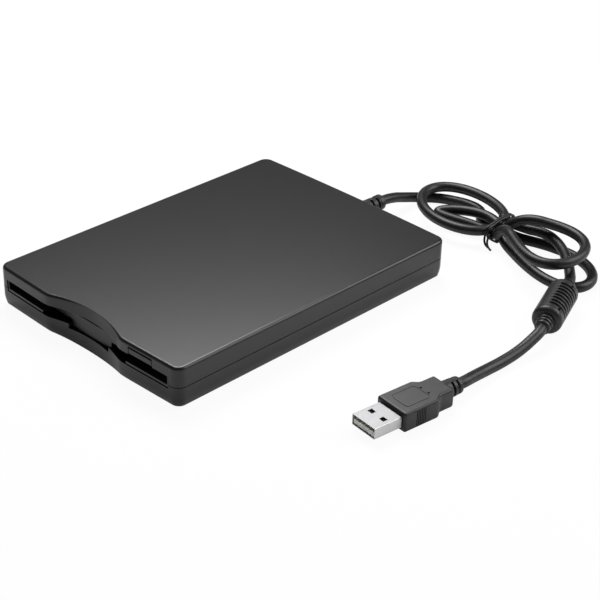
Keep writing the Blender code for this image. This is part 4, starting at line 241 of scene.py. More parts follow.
def shader(name, colour, roughness, metallic=0.0, specular=0.5, mottle=0.10, mottle_scale=900.0, spread=0.05,
           grain=0.15, grain_scale=5000.0, grain_depth=0.00002, coat=0.0, coat_roughness=0.3, stretch=None):
    """A Principled material whose colour, roughness and fine surface come from noise in object space."""
    made = bpy.data.materials.new(name)
    made.use_nodes = True
    tree = made.node_tree
    base = tree.nodes["Principled BSDF"]
    base.inputs["Metallic"].default_value = metallic
    base.inputs["Specular IOR Level"].default_value = specular
    base.inputs["Coat Weight"].default_value = coat
    base.inputs["Coat Roughness"].default_value = coat_roughness
    place = tree.nodes.new("ShaderNodeTexCoord").outputs["Object"]
    if stretch:
        mapping = tree.nodes.new("ShaderNodeMapping")
        mapping.inputs["Scale"].default_value = stretch
        tree.links.new(place, mapping.inputs["Vector"])
        place = mapping.outputs["Vector"]

    def noise(scale, detail):
        node = tree.nodes.new("ShaderNodeTexNoise")
        node.inputs["Scale"].default_value = scale
        node.inputs["Detail"].default_value = detail
        tree.links.new(place, node.inputs["Vector"])
        return node.outputs["Fac"]

    blotch = noise(mottle_scale, 4.0)
    ramp = tree.nodes.new("ShaderNodeValToRGB")
    for stop, spot, share in zip(ramp.color_ramp.elements, RAMP_ENDS, (1 - mottle, 1 + mottle)):
        stop.position = spot
        stop.color = (*[c * share for c in colour], 1.0)
    tree.links.new(blotch, ramp.inputs["Fac"])
    tree.links.new(ramp.outputs["Color"], base.inputs["Base Color"])
    wear = tree.nodes.new("ShaderNodeMapRange")
    wear.inputs["To Min"].default_value = roughness - spread
    wear.inputs["To Max"].default_value = roughness + spread
    tree.links.new(noise(mottle_scale / 3, 3.0), wear.inputs["Value"])
    tree.links.new(wear.outputs["Result"], base.inputs["Roughness"])
    bump = tree.nodes.new("ShaderNodeBump")
    bump.inputs["Strength"].default_value = grain
    bump.inputs["Distance"].default_value = grain_depth
    tree.links.new(noise(grain_scale, 2.0), bump.inputs["Height"])
    tree.links.new(bump.outputs["Normal"], base.inputs["Normal"])
    return made


CASE_SATIN = shader("case_satin", (0.013, 0.013, 0.0132), 0.30, specular=0.40, mottle=0.05, spread=0.02,
                    grain=0.06)
DOOR_SATIN = shader("door_satin", (0.012, 0.012, 0.0122), 0.36, mottle=0.08, spread=0.03)
CABLE_BLACK = shader("cable_black", (0.007, 0.007, 0.007), 0.42, specular=0.40, mottle=0.12,
                     mottle_scale=500.0, grain=0.01, grain_scale=1500.0)
MOULDED = shader("moulded_black", (0.015, 0.015, 0.0153), 0.42, specular=0.42, mottle=0.10,
                 mottle_scale=1500.0, grain=0.35, grain_scale=3500.0)
FOOT_RUBBER = shader("foot_rubber", (0.025, 0.025, 0.025), 0.75, mottle=0.15, grain=0.4, grain_scale=3000.0)
SHEET_STEEL = shader("sheet_steel", (0.55, 0.56, 0.57), 0.36, metallic=1.0, mottle=0.08, mottle_scale=300.0,
                     spread=0.08)
BRUSHED = {"metallic": 1.0, "mottle": 0.04, "mottle_scale": 600.0, "spread": 0.03, "grain": 0.2,
           "stretch": (1.0, 0.12, 1.0)}
BRIGHT_STEEL = shader("bright_steel", (0.66, 0.66, 0.665), 0.55, **BRUSHED)
# A darker copy of the shell's steel, for painted shade on the shell's top faces
SHADED_TOP_STEEL = shader("shaded_top_steel", (0.31, 0.31, 0.315), 0.55, **BRUSHED)
# The contacts' gilt colour, darkened as painted shade inside the plug's shell
SHADED_GILT = shader("shaded_gilt", (0.30, 0.22, 0.10), 0.40, metallic=1.0, mottle=0.06)
BRASS_PLATED = shader("brass_plated", (0.80, 0.58, 0.24), 0.28, metallic=1.0, mottle=0.06)
COPPER_WIRE = shader("copper_wire", (0.65, 0.28, 0.13), 0.35, metallic=1.0, mottle=0.18, mottle_scale=2500.0,
                     grain=0.6, grain_scale=4000.0)
BOARD_GREEN = shader("board_green", (0.016, 0.075, 0.030), 0.40, mottle=0.20, mottle_scale=700.0, coat=0.3)
CHIP_BLACK = shader("chip_black", (0.022, 0.022, 0.024), 0.55, mottle=0.15, mottle_scale=2500.0, grain=0.4)
PALE_PLASTIC = shader("pale_plastic", (0.72, 0.72, 0.70), 0.42, mottle=0.03)
AMBER_FILM = shader("amber_film", (0.42, 0.19, 0.04), 0.30, mottle=0.10, mottle_scale=1200.0, coat=0.5,
                    coat_roughness=0.15)
FERRITE_GREY = shader("ferrite_grey", (0.060, 0.058, 0.056), 0.60, mottle=0.20, mottle_scale=2500.0,
                      grain=0.5)
SLOT_MATERIALS = {
    "case_plastic": CASE_SATIN,
    "door_plastic": DOOR_SATIN,
    "rubber": FOOT_RUBBER,
    "cable_rubber": CABLE_BLACK,
    "moulded_black": MOULDED,
    "sheet_steel": SHEET_STEEL,
    "bright_steel": BRIGHT_STEEL,
    "brass": BRASS_PLATED,
    "copper": COPPER_WIRE,
    "board": BOARD_GREEN,
    "chip": CHIP_BLACK,
    "pale_plastic": PALE_PLASTIC,
    "amber_film": AMBER_FILM,
    "ferrite": FERRITE_GREY,
}
for part in frame["record"]["subparts"]:
    node = NODES[part["node"]]
    if not node.material_slots:
        node.data.materials.append(None)
    for held in node.material_slots:
        held.material = SLOT_MATERIALS[part["material_slot"]]
# The contacts take the darkened gilt: painted shade seen through the shell's windows
for held in NODES["plug_contacts"].material_slots:
    held.material = SHADED_GILT


# Shapes
def place_piece(obj, material, slot, body, *nodes):
    """Gives a piece its finish, its body and the nodes it stands for."""
    obj.data.materials.clear()
    obj.data.materials.append(material)
    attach(obj, body)
    if nodes:
        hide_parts(*nodes)
    return obj


def mesh_piece(name, verts, faces):
    mesh = bpy.data.meshes.new(name)
    mesh.from_pydata([tuple(v) for v in verts], [], faces)
    mesh.validate()
    mesh.update()
    obj = bpy.data.objects.new(name, mesh)
    bpy.context.scene.collection.objects.link(obj)
    return obj


def loft(name, rings):
    """A closed skin through rings of equal counts, with a face over each end."""
    count = len(rings[0])
    verts = [point for ring in rings for point in ring]
    faces = [tuple(range(count))[::-1], tuple(range(len(verts) - count, len(verts)))]
    for level in range(len(rings) - 1):
        low = level * count
        for index in range(count):
            after = (index + 1) % count
            faces.append((low + index, low + after, low + count + after, low + count + index))
    return outward(mesh_piece(name, verts, faces))


def outward(obj):
    """Turns the faces of a closed mesh to face out."""
    mesh = obj.data
    mesh.calc_loop_triangles()
    volume = 0.0
    for triangle in mesh.loop_triangles:
        a, b, c = (mesh.vertices[index].co for index in triangle.vertices)
        volume += a.dot(b.cross(c))
    if volume < 0:
        mesh.flip_normals()
    return obj


def block(name, low, high):
    x, y, z = zip(low, high)
    ring = [(x[0], y[0]), (x[1], y[0]), (x[1], y[1]), (x[0], y[1])]
    return loft(name, [[(a, b, level) for a, b in ring] for level in z])


def rod(name, base, length, diameter, axis="Z", sides=48):
    turn = {"Z": Matrix.Identity(3), "Y": Matrix.Rotation(-math.pi / 2, 3, "X"),
            "X": Matrix.Rotation(math.pi / 2, 3, "Y")}[axis]
    rings = []
    for level in (0.0, length):
        ring = []
        for step in range(sides):
            angle = math.tau * step / sides
            local = Vector((diameter / 2 * math.cos(angle), diameter / 2 * math.sin(angle), level))
            ring.append(tuple(Vector(base) + turn @ local))
        rings.append(ring)
    return loft(name, rings)


def bake(obj):
    """Replaces an object's mesh by the result of its modifiers."""
    graph = bpy.context.evaluated_depsgraph_get()
    made = bpy.data.meshes.new_from_object(obj.evaluated_get(graph))
    obj.modifiers.clear()
    obj.data = made
    return obj


def combine(obj, others, operation="DIFFERENCE"):
    """Cuts other closed shapes from an object, or joins them to it, and removes them."""
    for other in others:
        step = obj.modifiers.new(operation.lower(), "BOOLEAN")
        step.operation = operation
        step.solver = "EXACT"
        step.object = other
    bake(obj)
    for other in others:
        bpy.data.objects.remove(other, do_unlink=True)
    return obj


def soften(obj, width, segments=2, degrees=40.0, smooth_degrees=35.0):
    """Rounds an object's sharp edges and shades it smooth between them."""
    if width:
        step = obj.modifiers.new("edges", "BEVEL")
        step.width = width
        step.segments = segments
        step.limit_method = "ANGLE"
        step.angle_limit = math.radians(degrees)
        step.use_clamp_overlap = True
        bake(obj)
    mesh = obj.data
    mesh.polygons.foreach_set("use_smooth", [True] * len(mesh.polygons))
    mesh.set_sharp_from_angle(angle=math.radians(smooth_degrees))
    step = obj.modifiers.new("normals", "WEIGHTED_NORMAL")
    step.keep_sharp = True
    return bake(obj)


def turned(name, place, radius_at, levels, sides=ROUND_SIDES):
    """A body about local Z whose radius is a function of the height and of the turn about the axis."""
    rings = []
    for level in levels:
        ring = []
        for step in range(sides):
            angle = math.tau * step / sides
            radius = radius_at(level, angle)
            local = Vector((radius * math.cos(angle), radius * math.sin(angle), level))
            ring.append(tuple(place @ local))
        rings.append(ring)
    made = loft(name, rings)
    mesh = made.data
    mesh.polygons.foreach_set("use_smooth", [True] * len(mesh.polygons))
    mesh.set_sharp_from_angle(angle=math.radians(TURNED_SHARP_DEGREES))
    return made


def even_levels(length, step):
    count = round(length / step)
    return [length * index / count for index in range(count + 1)]


def ease(value):
    held = min(1.0, max(0.0, value))
    return held * held * (3 - 2 * held)


def trench(level, middle, width, wall):
    """1 inside a groove, 0 outside it, easing over its walls."""
    return ease((width / 2 + wall / 2 - abs(level - middle)) / wall)


def rounded_off(near, rounding):
    """What a round takes off a radius, this near to the end."""
    if near >= rounding:
        return 0.0
    return rounding - math.sqrt(max(0.0, rounding**2 - (rounding - near) ** 2))


def slot_depth(angle, depth, bridge, wall):
    """How deep a boot's side slots are at a turn: they end at a bridge above and one below."""
    return depth * (1 - ease((abs(math.sin(angle)) - bridge) / wall))


def arc(centre, radius, start, end, steps):
    angles = [math.radians(start + (end - start) * step / steps) for step in range(steps + 1)]
    return [(centre[0] + radius * math.cos(a), centre[1] + radius * math.sin(a)) for a in angles]


# Case
def front_line(x):
    return Y_FRONT - FRONT_BOW * (1 - (x / CASE_HALF) ** 2)


def back_line(x):
    return Y_BACK + BACK_BOW * (1 - (x / CASE_HALF) ** 2)


def scoop_depth(z):
    rise = (z - STANDOFF) / (Z_TOP - STANDOFF)
    return SCOOP_DEPTH_LOW + (SCOOP_DEPTH_HIGH - SCOOP_DEPTH_LOW) * rise


def scoop_form(share):
    """1 in the middle of the scoop and 0 outside it, with softly rounded ends."""
    plain = 1 - share**2
    return (math.sqrt(plain**2 + SCOOP_SOFTNESS**2) + plain) / 2


def case_ring(z, inset, scoop):
    radius = CORNER_RADIUS - inset
    side = CASE_HALF - CORNER_RADIUS
    front_middle = front_line(side) + CORNER_RADIUS
    back_middle = back_line(side) - CORNER_RADIUS
    ring = arc((-side, front_middle), radius, 180.0, 270.0, CORNER_STEPS)
    for step in range(SCOOP_STEPS + 1):
        share = SCOOP_REACH * (2 * step / SCOOP_STEPS - 1)
        x = share * SCOOP_HALF_WIDTH
        edge = scoop_form(SCOOP_REACH)
        form = (scoop_form(share) - edge) / (1 - edge)
        ring.append((x, front_line(x) + inset + scoop * form))
    ring += arc((side, front_middle), radius, 270.0, 360.0, CORNER_STEPS)
    ring += arc((side, back_middle), radius, 0.0, 90.0, CORNER_STEPS)
    for step in range(1, 2 * BOW_STEPS):
        x = side * (1 - step / BOW_STEPS)
        ring.append((x, back_line(x) - inset))
    ring += arc((-side, back_middle), radius, 90.0, 180.0, CORNER_STEPS)
    return [(x, y, z) for x, y in ring]


def outer_ring(z, inset):
    return case_ring(z, inset, scoop_depth(z) - inset)


def inner_ring(z, extra=0.0):
    return case_ring(z, WALL + extra, scoop_depth(z))


def boot_hole():
    base = (0, Y_BACK - WALL - OVERRUN, BOOT_AXIS_HEIGHT)
    return rod("boot_hole", base, BACK_BOW + WALL + 2 * OVERRUN, BOOT_NECK_DIAMETER + 2 * SEAT_GAP, "Y")


EDGE_ROUNDING = 0.00022
# Heights and insets of the lower case's foot, of the taper's height and the foot's inset
TAPER_SHARES = ((0.0, 1.0), (0.02, 0.80), (0.06, 0.62), (0.14, 0.49), (0.25, 0.40), (0.60, 0.16), (1.0, 0.0))


def make_top():
    rings = [inner_ring(Z_CEILING), inner_ring(Z_COVER_RIM), outer_ring(Z_COVER_RIM, 0.0)]
    for step in range(FILLET_STEPS + 1):
        turn = math.radians(90.0 * step / FILLET_STEPS)
        height = Z_TOP - TOP_FILLET * (1 - math.sin(turn))
        rings.append(outer_ring(height, TOP_FILLET * (1 - math.cos(turn))))
    rings.append(outer_ring(Z_TOP, TOP_FILLET + SEAT_GAP))
    cover = loft("top_shell", rings)
    front = front_line(0) - OVERRUN
    behind = Y_DOOR + WALL + SCOOP_DEPTH_HIGH / 2
    slot = block(
        "slot_above", (-SLOT_HALF_WIDTH, front, Z_COVER_RIM - OVERRUN), (SLOT_HALF_WIDTH, behind, Z_LIP)
    )
    notch = block(
        "button_notch", (BUTTON_LEFT - SEAT_GAP / 2, front, Z_LIP - OVERRUN),
        (BUTTON_LEFT + BUTTON_WIDTH + SEAT_GAP, Y_DOOR, Z_LIP + BUTTON_RISE + BUTTON_HEIGHT + 2 * SEAT_GAP),
    )
    room = block(
        "door_room", (-DOOR_ROOM_HALF, Y_HINGE + DOOR_SKIN, Z_LIP - OVERRUN),
        (DOOR_ROOM_HALF, Y_HINGE + DOOR_ROOM, Z_HINGE + DOOR_THICKNESS / 2 + SEAT_GAP),
    )
    combine(cover, [slot, notch, boot_hole(), room])
    soften(cover, EDGE_ROUNDING)
    place_piece(cover, CASE_SATIN, "case_plastic", CASE, "top_cover")


def make_bottom():
    rings = [outer_ring(STANDOFF, FOOT_INSET + SEAT_GAP)]
    rings += [outer_ring(STANDOFF + h * TAPER_HEIGHT, i * FOOT_INSET) for h, i in TAPER_SHARES]
    rings.append(outer_ring(Z_PARTING, 0.0))
    rings.append(inner_ring(Z_PARTING))
    rings.append(inner_ring(Z_FLOOR + TAPER_HEIGHT / 2))
    rings.append(inner_ring(Z_FLOOR, INNER_FOOT_INSET))
    case = loft("bottom_shell", rings)
    front = front_line(0) - OVERRUN
    behind = Y_DOOR + WALL + SCOOP_DEPTH_HIGH / 2
    slot = block(
        "slot_below", (-SLOT_HALF_WIDTH, front, Z_FRONT_WALL), (SLOT_HALF_WIDTH, behind, Z_PARTING + OVERRUN)
    )
    notch_half = TAB_HALF_WIDTH + SEAT_GAP
    notch = block(
        "tab_notch", (-notch_half, front, Z_FRONT_WALL - TAB_DROP), (notch_half, behind, Z_PARTING + OVERRUN)
    )
    cutters = [slot, notch, boot_hole()]
    for index, (x, y) in enumerate(REAR_SCREW_PLACES + FRONT_SCREW_PLACES):
        base = (x, y, STANDOFF - OVERRUN)
        cutters.append(rod(f"bore_{index}", base, Z_PARTING + 2 * OVERRUN, SCREW_DIAMETER + SEAT_GAP))
        cutters.append(rod(f"seat_{index}", base, SCREW_RECESS + OVERRUN, SCREW_HEAD_DIAMETER + 2 * SEAT_GAP))
    for index, (x, y) in enumerate(FOOT_PLACES):
        base = (x, y, STANDOFF - OVERRUN)
        cutters.append(rod(f"recess_{index}", base, FOOT_RECESS + OVERRUN, FOOT_DIAMETER + 2 * SEAT_GAP))
    combine(case, cutters)
    soften(case, EDGE_ROUNDING)
    place_piece(case, CASE_SATIN, "case_plastic", CASE, "bottom_case")


BUTTON_ROUNDING = 0.00030


def make_button():
    low_z = Z_LIP + BUTTON_RISE
    middle = BUTTON_LEFT + BUTTON_WIDTH / 2
    back = front_line(middle) + BUTTON_DEPTH
    rings = []
    for step in range(BUTTON_STEPS + 1):
        x = BUTTON_LEFT + BUTTON_WIDTH * step / BUTTON_STEPS
        front = front_line(x)
        rings.append([(x, front, low_z), (x, back, low_z), (x, back, low_z + BUTTON_HEIGHT),
                      (x, front, low_z + BUTTON_HEIGHT)])
    button = loft("button_cap", rings)
    stem_low = Z_SLIDER + BUTTON_STEM_RISE
    front = front_line(middle) + BUTTON_DEPTH / 2
    stem = block(
        "stem", (middle - BUTTON_STEM_WIDTH / 2, front, stem_low),
        (middle + BUTTON_STEM_WIDTH / 2, Y_CHASSIS - SEAT_GAP, stem_low + BUTTON_STEM_HEIGHT),
    )
    combine(button, [stem], "UNION")
    soften(button, BUTTON_ROUNDING, 3)
    place_piece(button, CASE_SATIN, "case_plastic", "eject_slider", "eject_button")


FOOT_ROUNDING = 0.00045


def make_feet():
    height = STANDOFF + FOOT_RECESS - SEAT_GAP

    def radius_at(level, angle):
        return FOOT_DIAMETER / 2 - rounded_off(level, FOOT_ROUNDING)

    turns = [math.radians(90.0 * step / FOOT_STEPS) for step in range(FOOT_STEPS + 1)]
    levels = [FOOT_ROUNDING * (1 - math.cos(turn)) for turn in turns] + [height]
    for index, (x, y) in enumerate(FOOT_PLACES, 1):
        foot = turned(f"foot_pad_{index}", Matrix.Translation((x, y, 0)), radius_at, levels)
        place_piece(foot, FOOT_RUBBER, "rubber", CASE, f"rubber_foot_{index}")


SCREW_DOME = 0.00035
SCREW_DOME_FALL = 0.45
CROSS_HALF_LENGTH = 0.0011
CROSS_HALF_WIDTH = 0.00024
CROSS_DEPTH = 0.00045


def make_screw(name, node, place, top):
    """A pan screw seen from below, with a cross in its head."""
    bottom = STANDOFF + SCREW_RECESS - SEAT_GAP - SCREW_HEAD_HEIGHT

    def radius_at(level, angle):
        if level > SCREW_HEAD_HEIGHT - HAIR / 2:
            return SCREW_DIAMETER / 2
        rise = min(1.0, level / SCREW_DOME)
        return SCREW_HEAD_DIAMETER / 2 * math.sqrt(1 - (1 - rise) ** 2 * SCREW_DOME_FALL)

    levels = [SCREW_DOME * step / SCREW_DOME_STEPS for step in range(SCREW_DOME_STEPS + 1)]
    levels += [SCREW_HEAD_HEIGHT - HAIR, SCREW_HEAD_HEIGHT, top - bottom]
    screw = turned(name, Matrix.Translation((*place, bottom)), radius_at, levels, SCREW_SIDES)
    arms = (CROSS_HALF_LENGTH, CROSS_HALF_WIDTH)
    cutters = []
    for index, (a, b) in enumerate((arms, arms[::-1])):
        cutters.append(block(
            f"cross_{index}", (place[0] - a, place[1] - b, bottom - CROSS_DEPTH),
            (place[0] + a, place[1] + b, bottom + CROSS_DEPTH),
        ))
    combine(screw, cutters)
    soften(screw, 0.0)
    place_piece(screw, SHEET_STEEL, "sheet_steel", CASE, node)


make_top()
make_bottom()
make_button()
make_feet()
for number, spot in enumerate(REAR_SCREW_PLACES, 1):
    make_screw(f"rear_screw_{number}", f"rear_case_screw_{number}", spot, REAR_SCREW_TOP)
for number, spot in enumerate(FRONT_SCREW_PLACES, 1):
    make_screw(f"front_screw_{number}", f"front_case_screw_{number}", spot, FRONT_SCREW_TOP)


# Cord
def loop_points(start, end, side, turn, reach, width, roundness, lean, skew, rise, climb, count):
    """One loop of the hank, from a pass through the waist round to the next."""
    (start_y, start_z), (end_y, end_z) = PASSES[start], PASSES[end]
    shares = [step / count for step in range(count + 1)]
    bulge = [math.sin(math.tau * s) * max(math.sin(math.pi * s), 0.0) ** roundness for s in shares]
    widest = max(bulge)
    points = []
    for s, bulged in zip(shares, bulge):
        out = (1 - math.cos(math.tau * s)) / 2
        eased = s * s * (3 - 2 * s)
        risen = min(1.0, min(s, 1 - s) / climb)
        swell = bulged / widest
        x = side * (WAIST_HALF_LENGTH + reach * out + skew * swell)
        y = start_y + (end_y - start_y) * eased + turn * width / 2 * swell + lean * out * out
        z = start_z + (end_z - start_z) * eased + rise * risen * risen * (3 - 2 * risen)
        points.append((WAIST_X + x, WAIST_Y + y, z))
    return points


def cord_route():
    points = list(LEAD_POINTS)
    for loop in HANK_LOOPS:
        points += loop_points(*loop, LOOP_POINTS)
    points += LINK_POINTS
    points += [FERRITE_FAR_END, FERRITE_NEAR_END]
    points += TAIL_POINTS
    return [Vector(point) for point in points]


def curve_piece(name, points, diameter, resolution=6, sides=6):
    curve = bpy.data.curves.new(name, "CURVE")
    curve.dimensions = "3D"
    curve.bevel_depth = diameter / 2
    curve.bevel_resolution = sides
    curve.use_fill_caps = True
    curve.resolution_u = resolution
    spline = curve.splines.new("BEZIER")
    spline.bezier_points.add(len(points) - 1)
    for held, point in zip(spline.bezier_points, points):
        held.co = point
        held.handle_left_type = "AUTO"
        held.handle_right_type = "AUTO"
    obj = bpy.data.objects.new(name, curve)
    bpy.context.scene.collection.objects.link(obj)
    return obj


# The strain relief as the photograph has it: its tip is longer, and its side slots are nearer the tip
TIP_LENGTH = 0.0008
SIDE_SLOT_SHARES = (0.585, 0.785)
SIDE_SLOT_WIDTH = 0.00105
SIDE_SLOT_DEPTH = 0.0015
SIDE_SLOT_WALL = 0.00015
SIDE_SLOT_BRIDGE = 0.97
SIDE_SLOT_BRIDGE_WALL = 0.02
COLLAR_SHARE = 0.86
COLLAR_RISE = 0.0003
BOOT_ROUNDING = 0.0004


def make_boot():
    start = Y_BACK_WALL - WALL - SEAT_GAP - BOOT_FLANGE_THICKNESS
    root = Y_BACK_WALL + SEAT_GAP - start
    reach = BOOT_LENGTH + TIP_LENGTH
    place = Matrix.Translation((0, start, BOOT_AXIS_HEIGHT)) @ ALONG_Y

    def radius_at(level, angle):
        if level < BOOT_FLANGE_THICKNESS:
            return BOOT_FLANGE_DIAMETER / 2
        if level < root:
            return BOOT_NECK_DIAMETER / 2
        along = level - root
        share = along / reach
        radius = (BOOT_ROOT_DIAMETER + (BOOT_TIP_DIAMETER - BOOT_ROOT_DIAMETER) * share) / 2
        if share > COLLAR_SHARE:
            radius = BOOT_TIP_DIAMETER / 2 + COLLAR_RISE
        radius -= rounded_off(min(along, reach - along), BOOT_ROUNDING)
        depth = slot_depth(angle, SIDE_SLOT_DEPTH, SIDE_SLOT_BRIDGE, SIDE_SLOT_BRIDGE_WALL)
        for slot in SIDE_SLOT_SHARES:
            radius -= depth * trench(along, slot * reach, SIDE_SLOT_WIDTH, SIDE_SLOT_WALL)
        return radius

    levels = [0, BOOT_FLANGE_THICKNESS - HAIR, BOOT_FLANGE_THICKNESS, root - HAIR]
    levels += [root + level for level in even_levels(reach, FINE_STEP)]
    boot = turned("cable_boot", place, radius_at, levels)
    place_piece(boot, MOULDED, "moulded_black", CASE, "strain_relief")


def ferrite_place():
    near, far = Vector(FERRITE_NEAR_END), Vector(FERRITE_FAR_END)
    axis = (far - near).normalized()
    return Matrix.Translation(near) @ axis.to_track_quat("Z", "Y").to_matrix().to_4x4(), (far - near).length


RIB_COUNT = 8
RIB_SPAN = 0.0155
RIB_GROOVE = 0.0010
RIB_DEPTH = 0.00100
RIB_FACING = (0.605, 0.218, 0.766)
RIB_HALF_DEGREES = 46.0
RIB_END_DEGREES = 8.0
RIB_WALL = 0.0003
COLLAR_GROOVE_WALL = 0.00012
DIMPLE_WALL = 0.0002
DIMPLE_REACH = 0.0092
DIMPLE_DEPTH = 0.0010
DIMPLE_RADIUS = 0.0006


def make_ferrite():
    place, length = ferrite_place()
    body = FERRITE_DIAMETER / 2
    start, end = FERRITE_COLLAR_LENGTH, length - FERRITE_COLLAR_LENGTH
    middle = length / 2
    right = place.to_3x3().inverted() @ Vector(RIB_FACING)
    rib_middle = math.atan2(right.y, right.x)

    def radius_at(level, angle):
        if start <= level <= end:
            radius = body - rounded_off(min(level - start, end - level), FERRITE_ROUNDING)
            off = math.remainder(angle - rib_middle, math.tau)
            side = ease((math.radians(RIB_HALF_DEGREES) - abs(off)) / math.radians(RIB_END_DEGREES) + 0.5)
            for index in range(RIB_COUNT):
                spot = middle + RIB_SPAN * (index / (RIB_COUNT - 1) - 0.5)
                radius -= RIB_DEPTH * side * trench(level, spot, RIB_GROOVE, RIB_WALL)
            for spot in (middle - DIMPLE_REACH, middle + DIMPLE_REACH):
                away = math.hypot(level - spot, body * off)
                radius -= DIMPLE_DEPTH * ease((DIMPLE_RADIUS - away) / DIMPLE_WALL + 0.5)
            return radius
        near = min(level, length - level)
        swell = (FERRITE_COLLAR_DIAMETER - FERRITE_COLLAR_TIP_DIAMETER) * near / FERRITE_COLLAR_LENGTH
        radius = (FERRITE_COLLAR_TIP_DIAMETER + swell) / 2
        for groove in FERRITE_GROOVE_SHARES:
            spot = groove * FERRITE_COLLAR_LENGTH
            radius -= FERRITE_GROOVE_DEPTH * trench(near, spot, FERRITE_GROOVE_WIDTH, COLLAR_GROOVE_WALL)
        return radius - rounded_off(near, SEAT_GAP)

    levels = sorted(set(even_levels(length, FERRITE_STEP) + [start - HAIR, start, end, end + HAIR]))
    cover = turned("ferrite_shell", place, radius_at, levels, FERRITE_SIDES)
    return place_piece(cover, MOULDED, "moulded_black", CASE, "ferrite_cover")


def plug_frame():
    turn = Matrix.Rotation(math.radians(PLUG_TURN_DEGREES), 4, "Z")
    return Matrix.Translation(PLUG_ROOT) @ turn


def into_plug_frame(obj):
    obj.data.transform(plug_frame())
    return obj


PANEL_HALF = 0.0045
PANEL_FRONT = 0.0034
PANEL_BACK = 0.0147
PANEL_CORNER = 0.0015
PANEL_GROOVE = 0.00030
PANEL_DEPTH = 0.00012
DIMPLE_X = 0.0020
DIMPLE_Y = 0.0156
DIMPLE_DIAMETER = 0.00095
GRIP_RIB_COUNT = 6
GRIP_RIB_PITCH = 0.00078
GRIP_RIB_WIDTH = 0.00036
GRIP_RIB_DEPTH = 0.00045
GRIP_RIB_START = 0.0054
GRIP_RIB_REACH_SHARE = 0.40
PLUG_SLOT_DEPTH = 1.5 * BOOT_GROOVE_DEPTH
PLUG_SLOT_WALL = 0.00012
PLUG_SLOT_BRIDGE = 0.93
PLUG_SLOT_BRIDGE_WALL = 0.03
PLUG_BOOT_ROUNDING = 0.0005
# One side of the moulding in plan, from the shell to the boot: places, and shares of the grip's half width
GRIP_SIDE = ((0.0, 1.0), (0.0150, 1.0), (0.0158, 0.975), (0.0165, 0.915), (0.0172, 0.825), (0.0180, 0.755),
             (0.0190, 0.733), (0.0240, 0.733), (0.0246, 0.700), (0.02485, 0.630))


def rounded_outline(left, front, right, back, radius, steps=8):
    outline = arc((right - radius, front + radius), radius, 270.0, 360.0, steps)
    outline += arc((right - radius, back - radius), radius, 0.0, 90.0, steps)
    outline += arc((left + radius, back - radius), radius, 90.0, 180.0, steps)
    return outline + arc((left + radius, front + radius), radius, 180.0, 270.0, steps)


def prism(name, outline, low, high):
    return loft(name, [[(x, y, level) for x, y in outline] for level in (low, high)])


def make_overmould():
    middle = PLUG_AXIS_HEIGHT
    half = GRIP_WIDTH / 2
    outline = [(share * half, y) for y, share in GRIP_SIDE]
    outline += [(-x, y) for x, y in outline[::-1]]
    grip = prism("plug_body", outline, middle - GRIP_HEIGHT / 2, middle + GRIP_HEIGHT / 2)
    soften(grip, GRIP_ROUNDING, 5, 50.0)
    top = middle + GRIP_HEIGHT / 2
    outer = rounded_outline(-PANEL_HALF, PANEL_FRONT, PANEL_HALF, PANEL_BACK, PANEL_CORNER)
    inner = rounded_outline(
        PANEL_GROOVE - PANEL_HALF, PANEL_FRONT + PANEL_GROOVE, PANEL_HALF - PANEL_GROOVE,
        PANEL_BACK - PANEL_GROOVE, PANEL_CORNER - PANEL_GROOVE,
    )
    frame_cut = prism("panel_outer", outer, top - PANEL_DEPTH, top + OVERRUN)
    combine(frame_cut, [prism("panel_inner", inner, top - 2 * PANEL_DEPTH, top + 2 * OVERRUN)])
    cutters = [frame_cut]
    rib_reach = GRIP_HEIGHT * GRIP_RIB_REACH_SHARE
    for side in (-1, 1):
        base = (side * DIMPLE_X, DIMPLE_Y, top - DIMPLE_DIAMETER / 2)
        cutters.append(rod(f"dimple_{side}", base, OVERRUN, DIMPLE_DIAMETER))
        for index in range(GRIP_RIB_COUNT):
            y = GRIP_RIB_START + index * GRIP_RIB_PITCH
            low = (side * half - GRIP_RIB_DEPTH, y, middle - rib_reach)
            high = (side * half + GRIP_RIB_DEPTH, y + GRIP_RIB_WIDTH, middle + rib_reach)
            cutters.append(block(f"rib_space_{side}_{index}", low, high))
    combine(grip, cutters)
    place = Matrix.Translation((0, GRIP_LENGTH + NECK_LENGTH - NECK_ROUNDING, middle)) @ ALONG_Y
    total = PLUG_BOOT_LENGTH + NECK_ROUNDING

    def radius_at(level, angle):
        along = max(0.0, level - NECK_ROUNDING)
        share = along / PLUG_BOOT_LENGTH
        radius = (PLUG_BOOT_ROOT_DIAMETER + (PLUG_BOOT_TIP_DIAMETER - PLUG_BOOT_ROOT_DIAMETER) * share) / 2
        radius -= rounded_off(total - level, PLUG_BOOT_ROUNDING)
        depth = slot_depth(angle, PLUG_SLOT_DEPTH, PLUG_SLOT_BRIDGE, PLUG_SLOT_BRIDGE_WALL)
        for groove in PLUG_BOOT_GROOVE_SHARES:
            radius -= depth * trench(along, groove * PLUG_BOOT_LENGTH, BOOT_GROOVE_WIDTH, PLUG_SLOT_WALL)
        return radius

    combine(grip, [turned("boot", place, radius_at, even_levels(total, FINE_STEP))], "UNION")
    soften(grip, 0.0)
    into_plug_frame(grip)
    return place_piece(grip, MOULDED, "moulded_black", CASE, "plug_overmould")


SHELL_ROUNDING = 0.00055
SHELL_INNER_ROUNDING = 0.00030
SHELL_EDGE = 0.00006
# How far up a face of the shell must turn before it takes the painted shade
SHADED_TOP_FACING = 0.9


